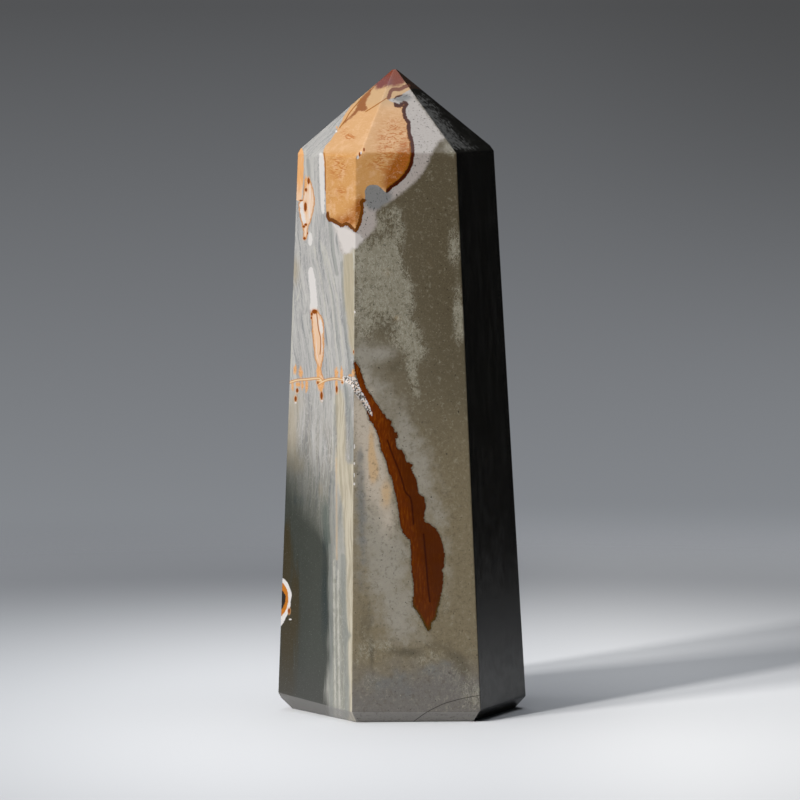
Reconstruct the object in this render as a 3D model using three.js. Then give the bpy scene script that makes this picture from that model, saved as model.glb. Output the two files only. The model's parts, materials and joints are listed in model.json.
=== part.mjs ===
// A six-sided point of polychrome jasper. It is one solid piece of stone, ground to six tapering sides,
// six faces that meet in a blunt point, and a narrow bevel round the flat foot that it stands on.
// Millimetres, +Z up. The origin is on the foot, under the middle of the stone's outline.
// -Y is the front.
import * as THREE from "three";
import { ConvexGeometry } from "three/addons/geometries/ConvexGeometry.js";

// Driving dimensions.
const HEIGHT = 165; // from the foot to the blunt tip
// Where the point's faces would meet if the tip weren't blunt. sharp is its height above the blunt tip.
const TIP = { x: -2.4, y: 1.4, sharp: 0.5 };

// Every face is ground by hand, so each differs a little from its neighbours. They are listed from the
// front, counter-clockwise seen from above. facing is the way that a face looks, in degrees from +X.

// lean is how far a side tilts inwards, in degrees. reach is its distance from the axis, on the floor.
const SIDES = [
  { facing: -85.6, lean: 2.4, reach: 27.95 },
  { facing: -24.2, lean: 3.2, reach: 28.6 },
  { facing: 33.1, lean: 2.8, reach: 27.2 },
  { facing: 94.1, lean: 2.4, reach: 28.0 },
  { facing: 153.4, lean: 2.0, reach: 28.5 },
  { facing: 215.6, lean: 1.7, reach: 27.6 },
];

// The point's faces all pass through the sharp tip. lean is measured as on the sides.
const POINT_FACES = [
  { facing: -85.0, lean: 46.9 },
  { facing: -26.2, lean: 47.1 },
  { facing: 34.2, lean: 46.5 },
  { facing: 94.0, lean: 46.5 },
  { facing: 154.5, lean: 45.0 },
  { facing: 217.9, lean: 44.6 },
];

// The bevels lean outwards, so the foot is smaller than the widest outline. reach is taken on the floor.
const BEVELS = [
  { facing: -86.3, lean: -44.5, reach: 25.1 },
  { facing: -24.2, lean: -39.0, reach: 25.9 },
  { facing: 31.9, lean: -42.0, reach: 24.5 },
  { facing: 94.1, lean: -42.0, reach: 25.1 },
  { facing: 152.4, lean: -42.0, reach: 25.5 },
  { facing: 213.4, lean: -41.0, reach: 24.3 },
];

const ON_FACE = 1e-4; // a corner this near a face lies on it
const LEAST_TURN = 1e-6; // three faces that span less than this have no corner

const POLISHED_STONE = new THREE.MeshStandardMaterial({
  name: "polished_jasper",
  color: new THREE.Color(0.4, 0.38, 0.33),
  roughness: 0.3,
  metalness: 0,
});

// The direction that a face looks in.
function outward({ facing, lean }) {
  const around = THREE.MathUtils.degToRad(facing);
  const up = THREE.MathUtils.degToRad(lean);
  return new THREE.Vector3(Math.cos(around) * Math.cos(up), Math.sin(around) * Math.cos(up), Math.sin(up));
}

// Where a side or a bevel meets the floor, straight out from the axis.
function onFloor({ facing, reach }) {
  const around = THREE.MathUtils.degToRad(facing);
  return new THREE.Vector3(Math.cos(around) * reach, Math.sin(around) * reach, 0);
}

// Every flat face of the stone, as a plane whose normal points out of it.
function groundFaces() {
  const through = (normal, at) => new THREE.Plane().setFromNormalAndCoplanarPoint(normal, at);
  const sharpTip = new THREE.Vector3(TIP.x, TIP.y, HEIGHT + TIP.sharp);
  return [
    through(new THREE.Vector3(0, 0, -1), new THREE.Vector3(0, 0, 0)),
    through(new THREE.Vector3(0, 0, 1), new THREE.Vector3(0, 0, HEIGHT)),
    ...[...SIDES, ...BEVELS].map((face) => through(outward(face), onFloor(face))),
    ...POINT_FACES.map((face) => through(outward(face), sharpTip)),
  ];
}

// The point where three faces meet, or null where they have no single one.
function corner(a, b, c) {
  const bc = new THREE.Vector3().crossVectors(b.normal, c.normal);
  const turn = a.normal.dot(bc);
  if (Math.abs(turn) < LEAST_TURN) return null;
  const ca = new THREE.Vector3().crossVectors(c.normal, a.normal);
  const ab = new THREE.Vector3().crossVectors(a.normal, b.normal);
  return new THREE.Vector3()
    .addScaledVector(bc, -a.constant)
    .addScaledVector(ca, -b.constant)
    .addScaledVector(ab, -c.constant)
    .divideScalar(turn);
}

// The stone's corners: of all the points where three faces meet, those that no other face cuts away.
function corners(faces) {
  const kept = [];
  for (let i = 0; i < faces.length; i++)
    for (let j = i + 1; j < faces.length; j++)
      for (let k = j + 1; k < faces.length; k++) {
        const at = corner(faces[i], faces[j], faces[k]);
        const inside = at && faces.every((face) => face.distanceToPoint(at) < ON_FACE);
        if (inside && kept.every((other) => other.distanceTo(at) > ON_FACE)) kept.push(at);
      }
  return kept;
}

// Moves the corners so that the middle of the stone's outline is over the origin. It keeps its height.
function centred(points) {
  const middle = new THREE.Box3().setFromPoints(points).getCenter(new THREE.Vector3());
  return points.map((point) => point.clone().sub(new THREE.Vector3(middle.x, middle.y, 0)));
}

const stone = new THREE.Mesh(new ConvexGeometry(centred(corners(groundFaces()))), POLISHED_STONE);
stone.name = "jasper_point";

const part = new THREE.Group();
part.add(stone);

export default part;
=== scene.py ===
import json
import math

import bmesh
import bpy
import numpy as np
from bpy.props import FloatProperty, FloatVectorProperty, PointerProperty
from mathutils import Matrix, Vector

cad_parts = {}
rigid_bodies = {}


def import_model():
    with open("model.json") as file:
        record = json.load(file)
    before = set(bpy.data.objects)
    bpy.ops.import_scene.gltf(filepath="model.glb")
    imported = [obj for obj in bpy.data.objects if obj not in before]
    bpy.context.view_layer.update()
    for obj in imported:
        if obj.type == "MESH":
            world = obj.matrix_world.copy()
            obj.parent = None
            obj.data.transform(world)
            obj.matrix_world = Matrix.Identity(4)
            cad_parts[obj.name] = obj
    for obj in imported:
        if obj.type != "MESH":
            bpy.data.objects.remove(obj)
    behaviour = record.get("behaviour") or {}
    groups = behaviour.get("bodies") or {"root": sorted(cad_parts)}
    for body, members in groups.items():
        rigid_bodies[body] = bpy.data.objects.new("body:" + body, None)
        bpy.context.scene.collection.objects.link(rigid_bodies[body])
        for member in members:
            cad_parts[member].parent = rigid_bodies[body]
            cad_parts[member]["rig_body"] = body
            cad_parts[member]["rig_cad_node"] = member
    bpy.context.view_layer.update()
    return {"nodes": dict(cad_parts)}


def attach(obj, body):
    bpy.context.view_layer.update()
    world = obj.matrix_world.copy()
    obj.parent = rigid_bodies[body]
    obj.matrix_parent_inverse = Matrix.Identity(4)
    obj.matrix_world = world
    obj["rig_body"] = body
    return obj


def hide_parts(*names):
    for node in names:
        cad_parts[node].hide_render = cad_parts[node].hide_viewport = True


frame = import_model()

bl_info = {
    "name": "Polychrome Jasper Point",
    "version": (1, 0, 0),
    "blender": (4, 5, 0),
    "location": "3D Viewport > Sidebar > Jasper",
    "description": "Grinds, marks and lights a six-sided point of polychrome jasper",
    "category": "Add Mesh",
}

# The camera that sees the stone as the photograph does. Metres and radians.
LENS_PIXELS = 4000.0
FRAME_PIXELS = 800.0
SENSOR_WIDTH = 36.0
CAMERA_AIM = Vector((-0.00057, 0.0, 0.080))
CAMERA_REACH = 1.031
CAMERA_TILT = math.radians(3.31)

# The six sides by the way that they face, in degrees from +X, going round the stone.
SIDES = {"front": -90.0, "right": -30.0, "back_right": 30.0, "back": 90.0, "back_left": 150.0, "left": 210.0}
ROUND = list(SIDES)
SHOULDER_HEIGHT = 0.143  # the grid's rows are closer together above this height, in metres
MIDDLE = (-0.0020, 0.0014)  # a point that the six sides stand round, seen from above, in metres
CRYSTAL_SEED = 7  # starts the random lumps in the crevice

# Markings are drawn on the photograph's frame, in its pixels. The hidden sides are unrolled past its outline.
UNROLL = 2.4  # pixels for each millimetre of a hidden side
FAR = 60.0  # a distance in pixels that stands for nowhere near
SHOULDER_ROW = 153.0  # where the sides end and the point starts
TIP_LEAN = 0.65  # how much the streaks lean on the left face of the point
BEND_HIGH = 215.0  # between this row and the next one the streaks lean over towards the front edge
BEND_LOW = 400.0
BEND_REACH = 20.0
CURVE_STEPS = 4  # short stretches between two points of an outline

# The polish.
BUMP_STRENGTH = 0.12
BUMP_HEIGHT = 0.0001  # metres
SHEEN = 0.27  # how strongly the surface mirrors
CRYSTAL_CELLS = 2.8  # small crystals in the crevice for each millimetre

# How the mesh is cut. Metres and radians.
MERGE_GAP = 0.0004  # corners nearer than this become one
SHORTEST_EDGE = 0.00055  # shorter edges stay sharp
CUT_GAP = 1e-6
FLAT_TURN = math.radians(1.0)
LEVEL = 0.9  # faces that look up or down more than this belong to no side

# One tone passes into another one between the two rows or columns of the drawing that each of these gives.
OLIVE_ROWS = (290.0, 420.0)
OLIVE_MID_ROWS = (360.0, 520.0)
PALE_COLUMNS = (455.0, 365.0)
PALE_ROWS = (120.0, 620.0)
FOOT_ROWS = (645.0, 690.0)
WARM_ROWS = (370.0, 450.0)
LOW_ROWS = (450.0, 540.0)
DIM_ROWS = (440.0, 540.0)
CREAM_ROWS = (400.0, 330.0)
SHADE_ROWS = (495.0, 560.0)
SHADE_FOOT_ROWS = (640.0, 705.0)
GREY_COLUMNS = (196.0, 206.0)
BLACK_COLUMNS = (168.0, 160.0)
# The halo is paler above the shoulder, on the point's faces: painted sheen.
HALO_SHEEN_ROWS = (151.0, 156.0)
RIM_COLUMNS = (366.0, 372.0)
RIM_ROWS = (150.0, 130.0)
LOBE_COLUMNS = (372.0, 364.0)
# The tan is paler above the shoulder, on the point's faces: painted sheen.
TAN_SHEEN_ROWS = (150.0, 156.0)
CREAM_TIP_ROWS = (112.0, 100.0)
MAUVE_ROWS = (82.0, 70.0)
MAUVE_COLUMNS = (388.0, 396.0)
STRIP_ROWS = (178.0, 200.0)
LENS_ROWS = (300.0, 345.0)
VEIN_SLOPE = -0.262  # columns that the vein's middle moves for each row upwards
VEIN_COLUMNS = (268.0, 284.0)
VEIN_ROWS = (420.0, 620.0)
VEIN_FOOT_ROWS = (590.0, 612.0)

# Colours of the stage, in linear light.
# The floor's tones paint a pool of light: darker to the left and away from the stone, brightest to the right
# of it.
FLOOR_LEFT = (0.53, 0.55, 0.58)
FLOOR_PALE = (0.72, 0.735, 0.765)
FLOOR_RIGHT = (0.86, 0.87, 0.89)
FLOOR_FAR = (0.26, 0.27, 0.29)
FLOOR_FAR_RIGHT = (0.37, 0.38, 0.40)
WALL_FOOT = (0.60, 0.62, 0.66)
WALL_LOW = (0.228, 0.24, 0.258)
WALL_HIGH = (0.086, 0.088, 0.092)
WALL_CORNER = (0.05, 0.05, 0.05)
GLOW_COLOUR = (0.9, 0.95, 1.0)
WORLD_GLOW = 0.02
KEY_COLOUR = (1.0, 0.98, 0.95)
TOP_COLOUR = (0.93, 0.96, 1.0)

# The floor's tones pass into each other over these stretches from the middle. Metres.
FLOOR_LEFT_ACROSS = (-0.15, -0.03)
FLOOR_RIGHT_ACROSS = (0.015, 0.075)
FLOOR_FAR_ACROSS = (-0.02, 0.08)
FLOOR_PAINTED_FALLOFF = (0.07, 0.36)
FLOOR_FADE = 0.32
FLOOR_RIM = 0.02

# The background's tones pass into each other over these parts of the view's direction. Its paleness low down
# and its darker top and corner are painted falloff of the studio light.
WALL_ACROSS = (-0.10, 0.05)
WALL_CORNER_ACROSS = (0.0, 0.11)
WALL_CORNER_RISE = (-0.06, 0.04)
WALL_FOOT_RISE = (-0.127, -0.088)
WALL_TOP_RISE = (-0.085, 0.04)
WALL_SLANT = -0.006

# Two key lights from the left throw the long double shadow. Degrees and metres.
KEY_RISE = 32.0
KEY_FRONT_TURN = 50.8
KEY_SIDE_TURN = 40.2
KEY_REACH = 1.36
KEY_FRONT_SIZE = 0.09
KEY_SIDE_SIZE = 0.18
KEY_SIDE_SHARE = 0.85  # the second key's strength as a share of the first one's
FILL_WAY = (-1.0, -0.10, 0.35)
FILL_REACH = 1.1
FILL_SIZE = 0.9
TOP_WAY = (-0.10, 0.15, 1.0)
TOP_REACH = 1.0
TOP_SIZE = 1.2

# Outlines on the drawing, each a few points that a smooth closed line runs through. First the tan cap over
# the point, and what is on it.
CAP = [
    (352.4, 102.6), (344, 116), (340.8, 123.4), (337.9, 128.3), (331.5, 139), (324.8, 147), (323.2, 154),
    (324.8, 171), (325.7, 191.5), (327, 218), (333, 221.5), (338.9, 225.4), (342.3, 226.7), (344.8, 225),
    (348.1, 225.8), (352.2, 229.2), (355.9, 231.7), (359.7, 224.6), (361.7, 217.1), (363.4, 208),
    (362.6, 202.2), (365, 199.7), (365, 190.6), (367.1, 186.5), (371.3, 184.8), (376.3, 185.2),
    (380.4, 187.3), (384.1, 191), (387, 191.8), (392.8, 187.3), (400.3, 181.5), (407, 174),
    (411.5, 165.7), (413.2, 157.4), (413.7, 152.4), (412.9, 141.6), (410, 132.5), (409.6, 122.5),
    (406.7, 117.6), (405.5, 113.4), (405, 108.4), (407.9, 104.7), (405, 101.4), (402.1, 102.6),
    (399.7, 104.7), (395.5, 103.5), (391, 101.5), (387, 100), (392, 98.5), (395.5, 97.7), (400.5, 95.2),
    (404.6, 92.7), (409.6, 89.8), (416.5, 88.5), (428, 92), (440, 88), (440, 50), (290, 50), (290, 96),
    (305, 100), (318, 108), (332, 104), (342, 108),
]
TIP_MAUVE = [
    (374.5, 84.5), (376.7, 89.1), (382.3, 87.6), (389, 86), (395, 86), (401.2, 85), (405, 82.4), (412, 82),
    (430, 80), (430, 50), (300, 50), (300, 84), (350, 86), (366, 84),
]
TIP_BROWN = [
    (376, 84.5), (371, 91), (370, 95), (367, 99), (365.7, 105), (367.8, 109), (362, 111.5), (359.4, 110.3),
    (357, 113), (352, 117), (348.5, 120), (343.5, 124), (342.5, 123), (350, 116), (355, 110),
    (357.5, 104.5), (361.4, 97.8), (366, 93),
]
# The hook is an open line.
TIP_HOOK = [(408.5, 85.5), (404, 87), (400.2, 89.2), (394, 89.2), (391, 91), (389.5, 95), (388.6, 98)]
# The stretches of the cap's edge that have a dark rim.
RIM_ZONE = [
    [(396, 96), (412, 98), (424, 130), (426, 160), (412, 180), (392, 197), (386, 194), (388, 184),
     (398, 176), (402, 160), (402, 130), (398, 112), (394, 106)],
    [(326, 213), (330, 212), (334, 218), (342, 220), (352, 222), (356, 214), (357, 202), (361, 198),
     (370, 204), (368, 226), (358, 240), (340, 234), (328, 224)],
]
# The pale stone round the cap.
HALO = [
    (405, 84), (420, 104), (432, 120), (444, 137), (438.6, 142), (431.4, 154.6), (426, 167), (413.6, 183),
    (395.7, 197.5), (388.6, 203), (376, 212), (376, 226), (365.4, 238.6), (356.4, 247.5), (350.5, 248),
    (348, 253), (341.5, 252), (339.5, 243), (336.5, 232), (333.5, 221), (345, 205), (360, 190),
    (380, 150), (390, 110), (386, 99),
]
# The orange strip at the left edge, the lenses, and white streaks.
EDGE_STRIP = [
    (303.2, 151), (303.8, 164), (303.4, 176), (302.6, 188), (301.6, 199), (298.6, 201), (293, 197),
    (286, 188), (283, 172), (284, 158), (291, 149), (299, 147),
]
LENS_UPPER = [
    (305.2, 179), (309.6, 179), (312, 185), (313.8, 193), (314.8, 200.5), (313.9, 208.2), (312.5, 214.6),
    (310.4, 222.3), (308.3, 227.2), (307.6, 234.2), (306.2, 239), (303.7, 239), (303, 230.7),
    (301.6, 223.7), (299.8, 215.3), (298.4, 206), (299, 202), (302.2, 199), (303.6, 192), (304.2, 185),
]
LENS_MIDDLE = [
    (311, 313), (313.6, 310.5), (317.3, 311.2), (320.5, 315), (322.7, 319), (324, 326), (324.2, 340),
    (323.8, 352), (323.2, 360), (321.6, 366), (321.8, 373), (324.4, 380), (322.6, 388), (321, 392),
    (319.4, 388), (317.6, 380), (317.8, 373), (317.6, 368), (316.3, 362.6), (314.8, 358), (313.8, 349),
    (313, 340), (312, 330), (311.5, 318),
]
LENS_BACK = [
    (243, 262), (249, 268), (252, 284), (251, 304), (247, 320), (243, 328), (240, 316), (237, 298),
    (238, 276),
]
WHITES = [
    [(308.5, 270), (312.5, 268), (315.5, 282), (317, 297), (317, 310.5), (310.2, 310), (310.4, 297),
     (309, 284)],
    [(299.4, 203.5), (302.2, 200.5), (303.6, 206), (304.4, 214), (305.8, 224), (303, 223.8), (300.6, 214)],
    [(318.8, 158), (321, 152), (323.8, 158), (324.2, 178), (324.6, 200), (323.8, 214), (321.2, 208),
     (319.8, 180)],
    [(309, 232), (311, 233), (312.7, 240), (310.5, 246), (308.2, 243)],
    [(319.4, 320), (322, 321), (323, 332), (321.4, 334.5), (319.4, 328)],
]
# The whitest part of the halo.
WHITE_PATCH = [
    (333, 222), (340, 226.5), (346, 228), (353, 231.5), (358, 234), (364, 238), (360, 244), (356, 248),
    (352, 249), (350, 253), (344, 252.5), (341.6, 248), (339, 240), (336, 231),
]
# The rust vein down the front, and the crevice beside its top.
VEIN = [
    (354.4, 361.4), (357, 363.5), (359.6, 367.5), (360.6, 371), (364, 381), (366.4, 388), (371, 394.5),
    (374.5, 400.5), (377.6, 404.4), (380.5, 409.5), (384, 414), (387, 418.5), (391.5, 421),
    (391.8, 423.5), (391, 426), (394, 428.4), (394.2, 431.6), (397.4, 433), (397.8, 437),
    (395.6, 438.4), (396.4, 444), (397.5, 449), (402.2, 449.6), (403, 452.4), (405.4, 456.5),
    (406.6, 462), (411.6, 463.5), (412.6, 467), (410.5, 468.5), (413.6, 474), (416, 478), (417, 484),
    (419, 493.6), (423.6, 496.4), (424.8, 500), (426.2, 507), (424.6, 511), (424.4, 520.4), (428, 523),
    (432, 525.5), (436, 529), (440, 536), (443.4, 546), (444.6, 556), (444.4, 562), (443.4, 568),
    (441.8, 570), (443.2, 577), (443, 584), (441.6, 592), (439.6, 603), (437.4, 611), (436.8, 617),
    (432, 623), (430.8, 629), (428.4, 631.3), (424.8, 626), (422, 620), (417.6, 613), (412.8, 606),
    (412.2, 602), (413.6, 594), (413.4, 583), (412.2, 574), (411, 565), (411.2, 551), (410, 540),
    (408.2, 539.4), (405, 536), (402.4, 531), (400, 524), (398.6, 512), (396.6, 500), (394, 490),
    (392.4, 480.6), (388.6, 472), (386.2, 462), (383.8, 456), (380.6, 449), (379.8, 443), (376.6, 432),
    (372.6, 424), (369.4, 420), (367, 411.4), (362, 397), (358.4, 384), (355.6, 374), (354.2, 367),
]
DRUZY = [
    (341, 377.5), (346, 376), (351, 377), (355.5, 377.5), (358.5, 384), (361.5, 391), (366, 399),
    (370.5, 408), (373, 415.5), (370.4, 415.5), (367.6, 411), (363.6, 405.5), (359.6, 400),
    (356, 395.5), (353, 389.5), (349.5, 384.5), (344, 381.5),
]
# The eye at the left edge, and the rings in it.
EYE = [
    (281, 577.5), (286.6, 581.6), (289.6, 587.5), (291.4, 593), (290.8, 601), (289.6, 608.5), (286, 617.5),
    (280, 627), (274, 623), (268, 612), (265, 600), (268, 588), (274, 580),
]
EYE_RING = [
    (280, 581.5), (285, 585.5), (287.4, 591.5), (288.4, 598), (287.4, 606), (283.6, 613.5), (279, 617.5),
    (273, 614), (269, 606), (268.4, 596), (273, 586),
]
EYE_CORE = [
    (279, 588), (283, 591), (285.4, 596), (285.4, 602), (282.6, 608), (278, 612), (273, 606), (273, 594),
]
# The dark zone low on the left side, and the cream bands along the front edge.
SHADE = [
    (206, 500), (230, 482), (255, 470), (280, 458), (293, 456), (302, 465), (312, 484), (319, 503),
    (322.5, 516), (326.5, 530), (329.4, 545), (331, 575), (330.6, 600), (332, 620), (330.4, 641),
    (331.6, 659), (326, 690), (321, 730), (206, 730),
]
CREAM_BANDS = [
    [(336, 392), (343, 392), (345, 420), (346, 444), (345.4, 456), (349, 464), (370, 470), (370, 730),
     (349.6, 730), (349, 702), (348.6, 692), (349.8, 686), (348.2, 678), (347.4, 664), (347.6, 645),
     (349.4, 639), (351.8, 635), (349, 631), (347.6, 624), (346.8, 610), (346.4, 590), (346, 560),
     (344.4, 540), (343, 515), (340.5, 495), (337.2, 480), (335.4, 460), (336.6, 440), (335.6, 415)],
    [(344, 256), (350, 250), (372, 250), (372, 362), (352, 352), (347, 320), (343, 290)],
]
# Wavy lines of the left side, each with its half width.
PALE_LINES = [
    ([(305.2, 150), (305.6, 164), (306.6, 178)], 0.8),
    ([(323.8, 153), (331, 142), (338.8, 129.5), (344.4, 119.5), (350, 109.5)], 0.9),
    ([(324.4, 246), (330, 268), (335.6, 290), (338.5, 312), (341, 333), (342.7, 350), (344, 368)], 0.9),
    ([(320, 240), (325.4, 264), (330.6, 292), (333.6, 322), (336, 348), (338, 372)], 0.7),
    ([(314, 246), (317, 262), (322, 284), (326, 316), (329, 350), (330.6, 374)], 0.6),
    ([(296.6, 300), (299.4, 292), (301.6, 282)], 0.6),
    ([(333.6, 398), (333, 430), (331.6, 470)], 0.7),
    ([(333.8, 560), (334.4, 640), (335.6, 716)], 0.7),
    ([(338, 570), (338.4, 640), (340, 716)], 0.8),
    ([(351.5, 236), (354.4, 262), (355, 300), (354.8, 352)], 0.8),
    ([(293, 290), (292, 330), (290.6, 376)], 0.9),
]
COOL_LINES = [
    ([(327, 158), (327.6, 190), (330.4, 224), (333, 250), (337, 274)], 1.9),
    ([(322.5, 252), (328, 276), (333.2, 300), (336.3, 325), (339, 350), (341, 370)], 0.9),
    ([(341.6, 262), (343.4, 300), (345.5, 330), (348.5, 356), (350.8, 374)], 1.2),
    ([(345.4, 386), (348.6, 410), (351.6, 440), (352, 462)], 2.2),
    ([(334.6, 405), (334.4, 440), (333.6, 470), (334, 545)], 0.7),
    ([(330.4, 545), (331.2, 620), (331.2, 716)], 1.9),
    ([(342.8, 556), (343.6, 600), (345.6, 632), (346.6, 664), (347.4, 716)], 2.2),
    ([(310, 222), (309, 200), (309.4, 180), (308, 160)], 1.6),
]
OCHRE_LINES = [
    ([(336.2, 458), (336.6, 500), (336.8, 560)], 0.7),
]
# Small oval dabs: each has its middle and its half widths.
ORANGE_DABS = [
    ((295.0, 370.0), (1.6, 4.6)), ((300.8, 373.0), (1.9, 6.0)), ((336.4, 373.0), (1.9, 5.4)),
    ((341.6, 373.4), (1.4, 5.6)), ((292.6, 385.6), (1.3, 4.4)), ((298.2, 384.4), (2.4, 2.4)),
    ((302.4, 385.4), (1.4, 4.0)), ((306.6, 385.2), (1.3, 6.4)), ((336.4, 383.6), (1.4, 3.2)),
    ((353.6, 372.4), (2.2, 3.4)), ((351.0, 375.6), (2.6, 1.6)), ((305.8, 182.0), (1.3, 6.0)),
    ((337.0, 127.6), (0.9, 1.4)), ((320.8, 385.4), (3.2, 6.4)), ((317.8, 382.6), (1.6, 2.6)),
    ((342.0, 382.4), (1.3, 1.8)), ((318.6, 372.0), (2.0, 8.0)), ((225.0, 387.0), (1.5, 4.5)),
    ((246.0, 388.0), (1.4, 3.6)), ((262.0, 377.0), (1.5, 5.0)), ((216.0, 378.0), (1.3, 4.0)),
]
RED_DABS = [
    ((308.6, 181.0), (1.3, 3.2)), ((306.0, 189.8), (1.2, 1.8)), ((305.4, 206.8), (1.5, 4.8)),
    ((305.8, 224.6), (1.5, 1.3)), ((303.8, 226.6), (1.5, 1.3)), ((307.4, 233.4), (0.6, 1.2)),
    ((304.5, 238.4), (1.4, 1.4)), ((301.0, 200.4), (2.0, 0.6)), ((314.6, 311.6), (2.8, 2.2)),
    ((311.8, 314.2), (1.1, 1.6)), ((311.4, 317.8), (0.8, 1.4)), ((297.2, 390.4), (1.2, 2.2)),
    ((295.6, 398.8), (1.2, 2.6)), ((321.5, 395.6), (1.3, 4.0)), ((336.7, 389.2), (1.1, 3.4)),
    ((317.9, 382.8), (0.8, 1.6)), ((342.1, 382.3), (0.8, 1.0)), ((353.6, 351.8), (0.5, 1.6)),
    ((289.0, 611.0), (1.2, 2.6)), ((359.6, 154.2), (1.0, 2.4)), ((364.0, 149.6), (0.9, 1.9)),
    ((247.0, 396.0), (1.1, 3.0)), ((262.6, 369.0), (0.9, 2.0)), ((244.0, 266.0), (1.4, 2.2)),
    ((246.0, 300.0), (1.2, 4.0)),
]
GLINTS = [
    ((361.0, 152.6), (0.8, 1.7)), ((357.8, 157.2), (1.2, 1.9)), ((336.0, 131.0), (1.0, 1.1)),
    ((354.5, 312.0), (0.9, 1.3)), ((354.3, 446.5), (0.7, 2.6)), ((354.2, 463.5), (0.8, 1.4)),
    ((354.0, 475.0), (0.6, 2.2)), ((354.1, 484.0), (0.9, 1.4)), ((295.6, 402.8), (1.0, 0.7)),
    ((321.7, 400.8), (1.0, 0.7)), ((290.2, 619.4), (1.3, 0.8)),
]
# Fine lines, each drawn as points that a smooth line runs through.
SEAM_LINES = [
    [(205, 386), (226, 381), (248, 384), (266, 382), (276, 383.6), (289.7, 382.3), (297, 380.2),
     (306.2, 379.5), (315.3, 378.4), (319.5, 378.6), (322, 381)],
    [(319.6, 383.4), (326.5, 380), (335.6, 378.6), (341.3, 379.4), (347, 378.4)],
]
HAIRLINES = [
    [(384.9, 99.3), (375.7, 105.4), (367.6, 110.5)],
    [(360, 100.3), (350.2, 112), (345.6, 119.7), (341, 126)],
    [(324.2, 155), (325.2, 163), (325.4, 176), (325.6, 188)],
    [(316.8, 314), (317.8, 323.7), (318.8, 330.7), (320.4, 337), (320.8, 345), (320.2, 352)],
]
MIDRIBS = [
    [(388, 442), (393, 456), (398, 468), (402, 480), (405.5, 492), (410.6, 498), (412.4, 510),
     (413.4, 522)],
    [(423.8, 536), (425, 550), (426.4, 566), (428, 586), (429.6, 600)],
]
CRACK = [[(484, 694), (478, 695.6), (461, 698.8), (448, 702.4), (441.7, 704.6), (426.4, 712.4), (413, 722)]]
# The names that the mesh keeps the markings under.
OUTLINES = {
    "cap": [CAP],
    "rim_zone": RIM_ZONE,
    "mauve": [TIP_MAUVE],
    "brown": [TIP_BROWN],
    "halo": [HALO],
    "white_patch": [WHITE_PATCH],
    "strip": [EDGE_STRIP],
    "lens": [LENS_UPPER, LENS_MIDDLE, LENS_BACK],
    "white": WHITES,
    "vein": [VEIN],
    "druzy": [DRUZY],
    "eye": [EYE],
    "eye_ring": [EYE_RING],
    "eye_core": [EYE_CORE],
    "shade": [SHADE],
    "cream": CREAM_BANDS,
}
THICK_LINES = {
    "hook": [(TIP_HOOK, 1.9)],
    "pale_lines": PALE_LINES,
    "cool_lines": COOL_LINES,
    "ochre_lines": OCHRE_LINES,
}
FINE_LINES = {"seam": SEAM_LINES, "hairline": HAIRLINES, "midrib": MIDRIBS, "crack": CRACK}

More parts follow.
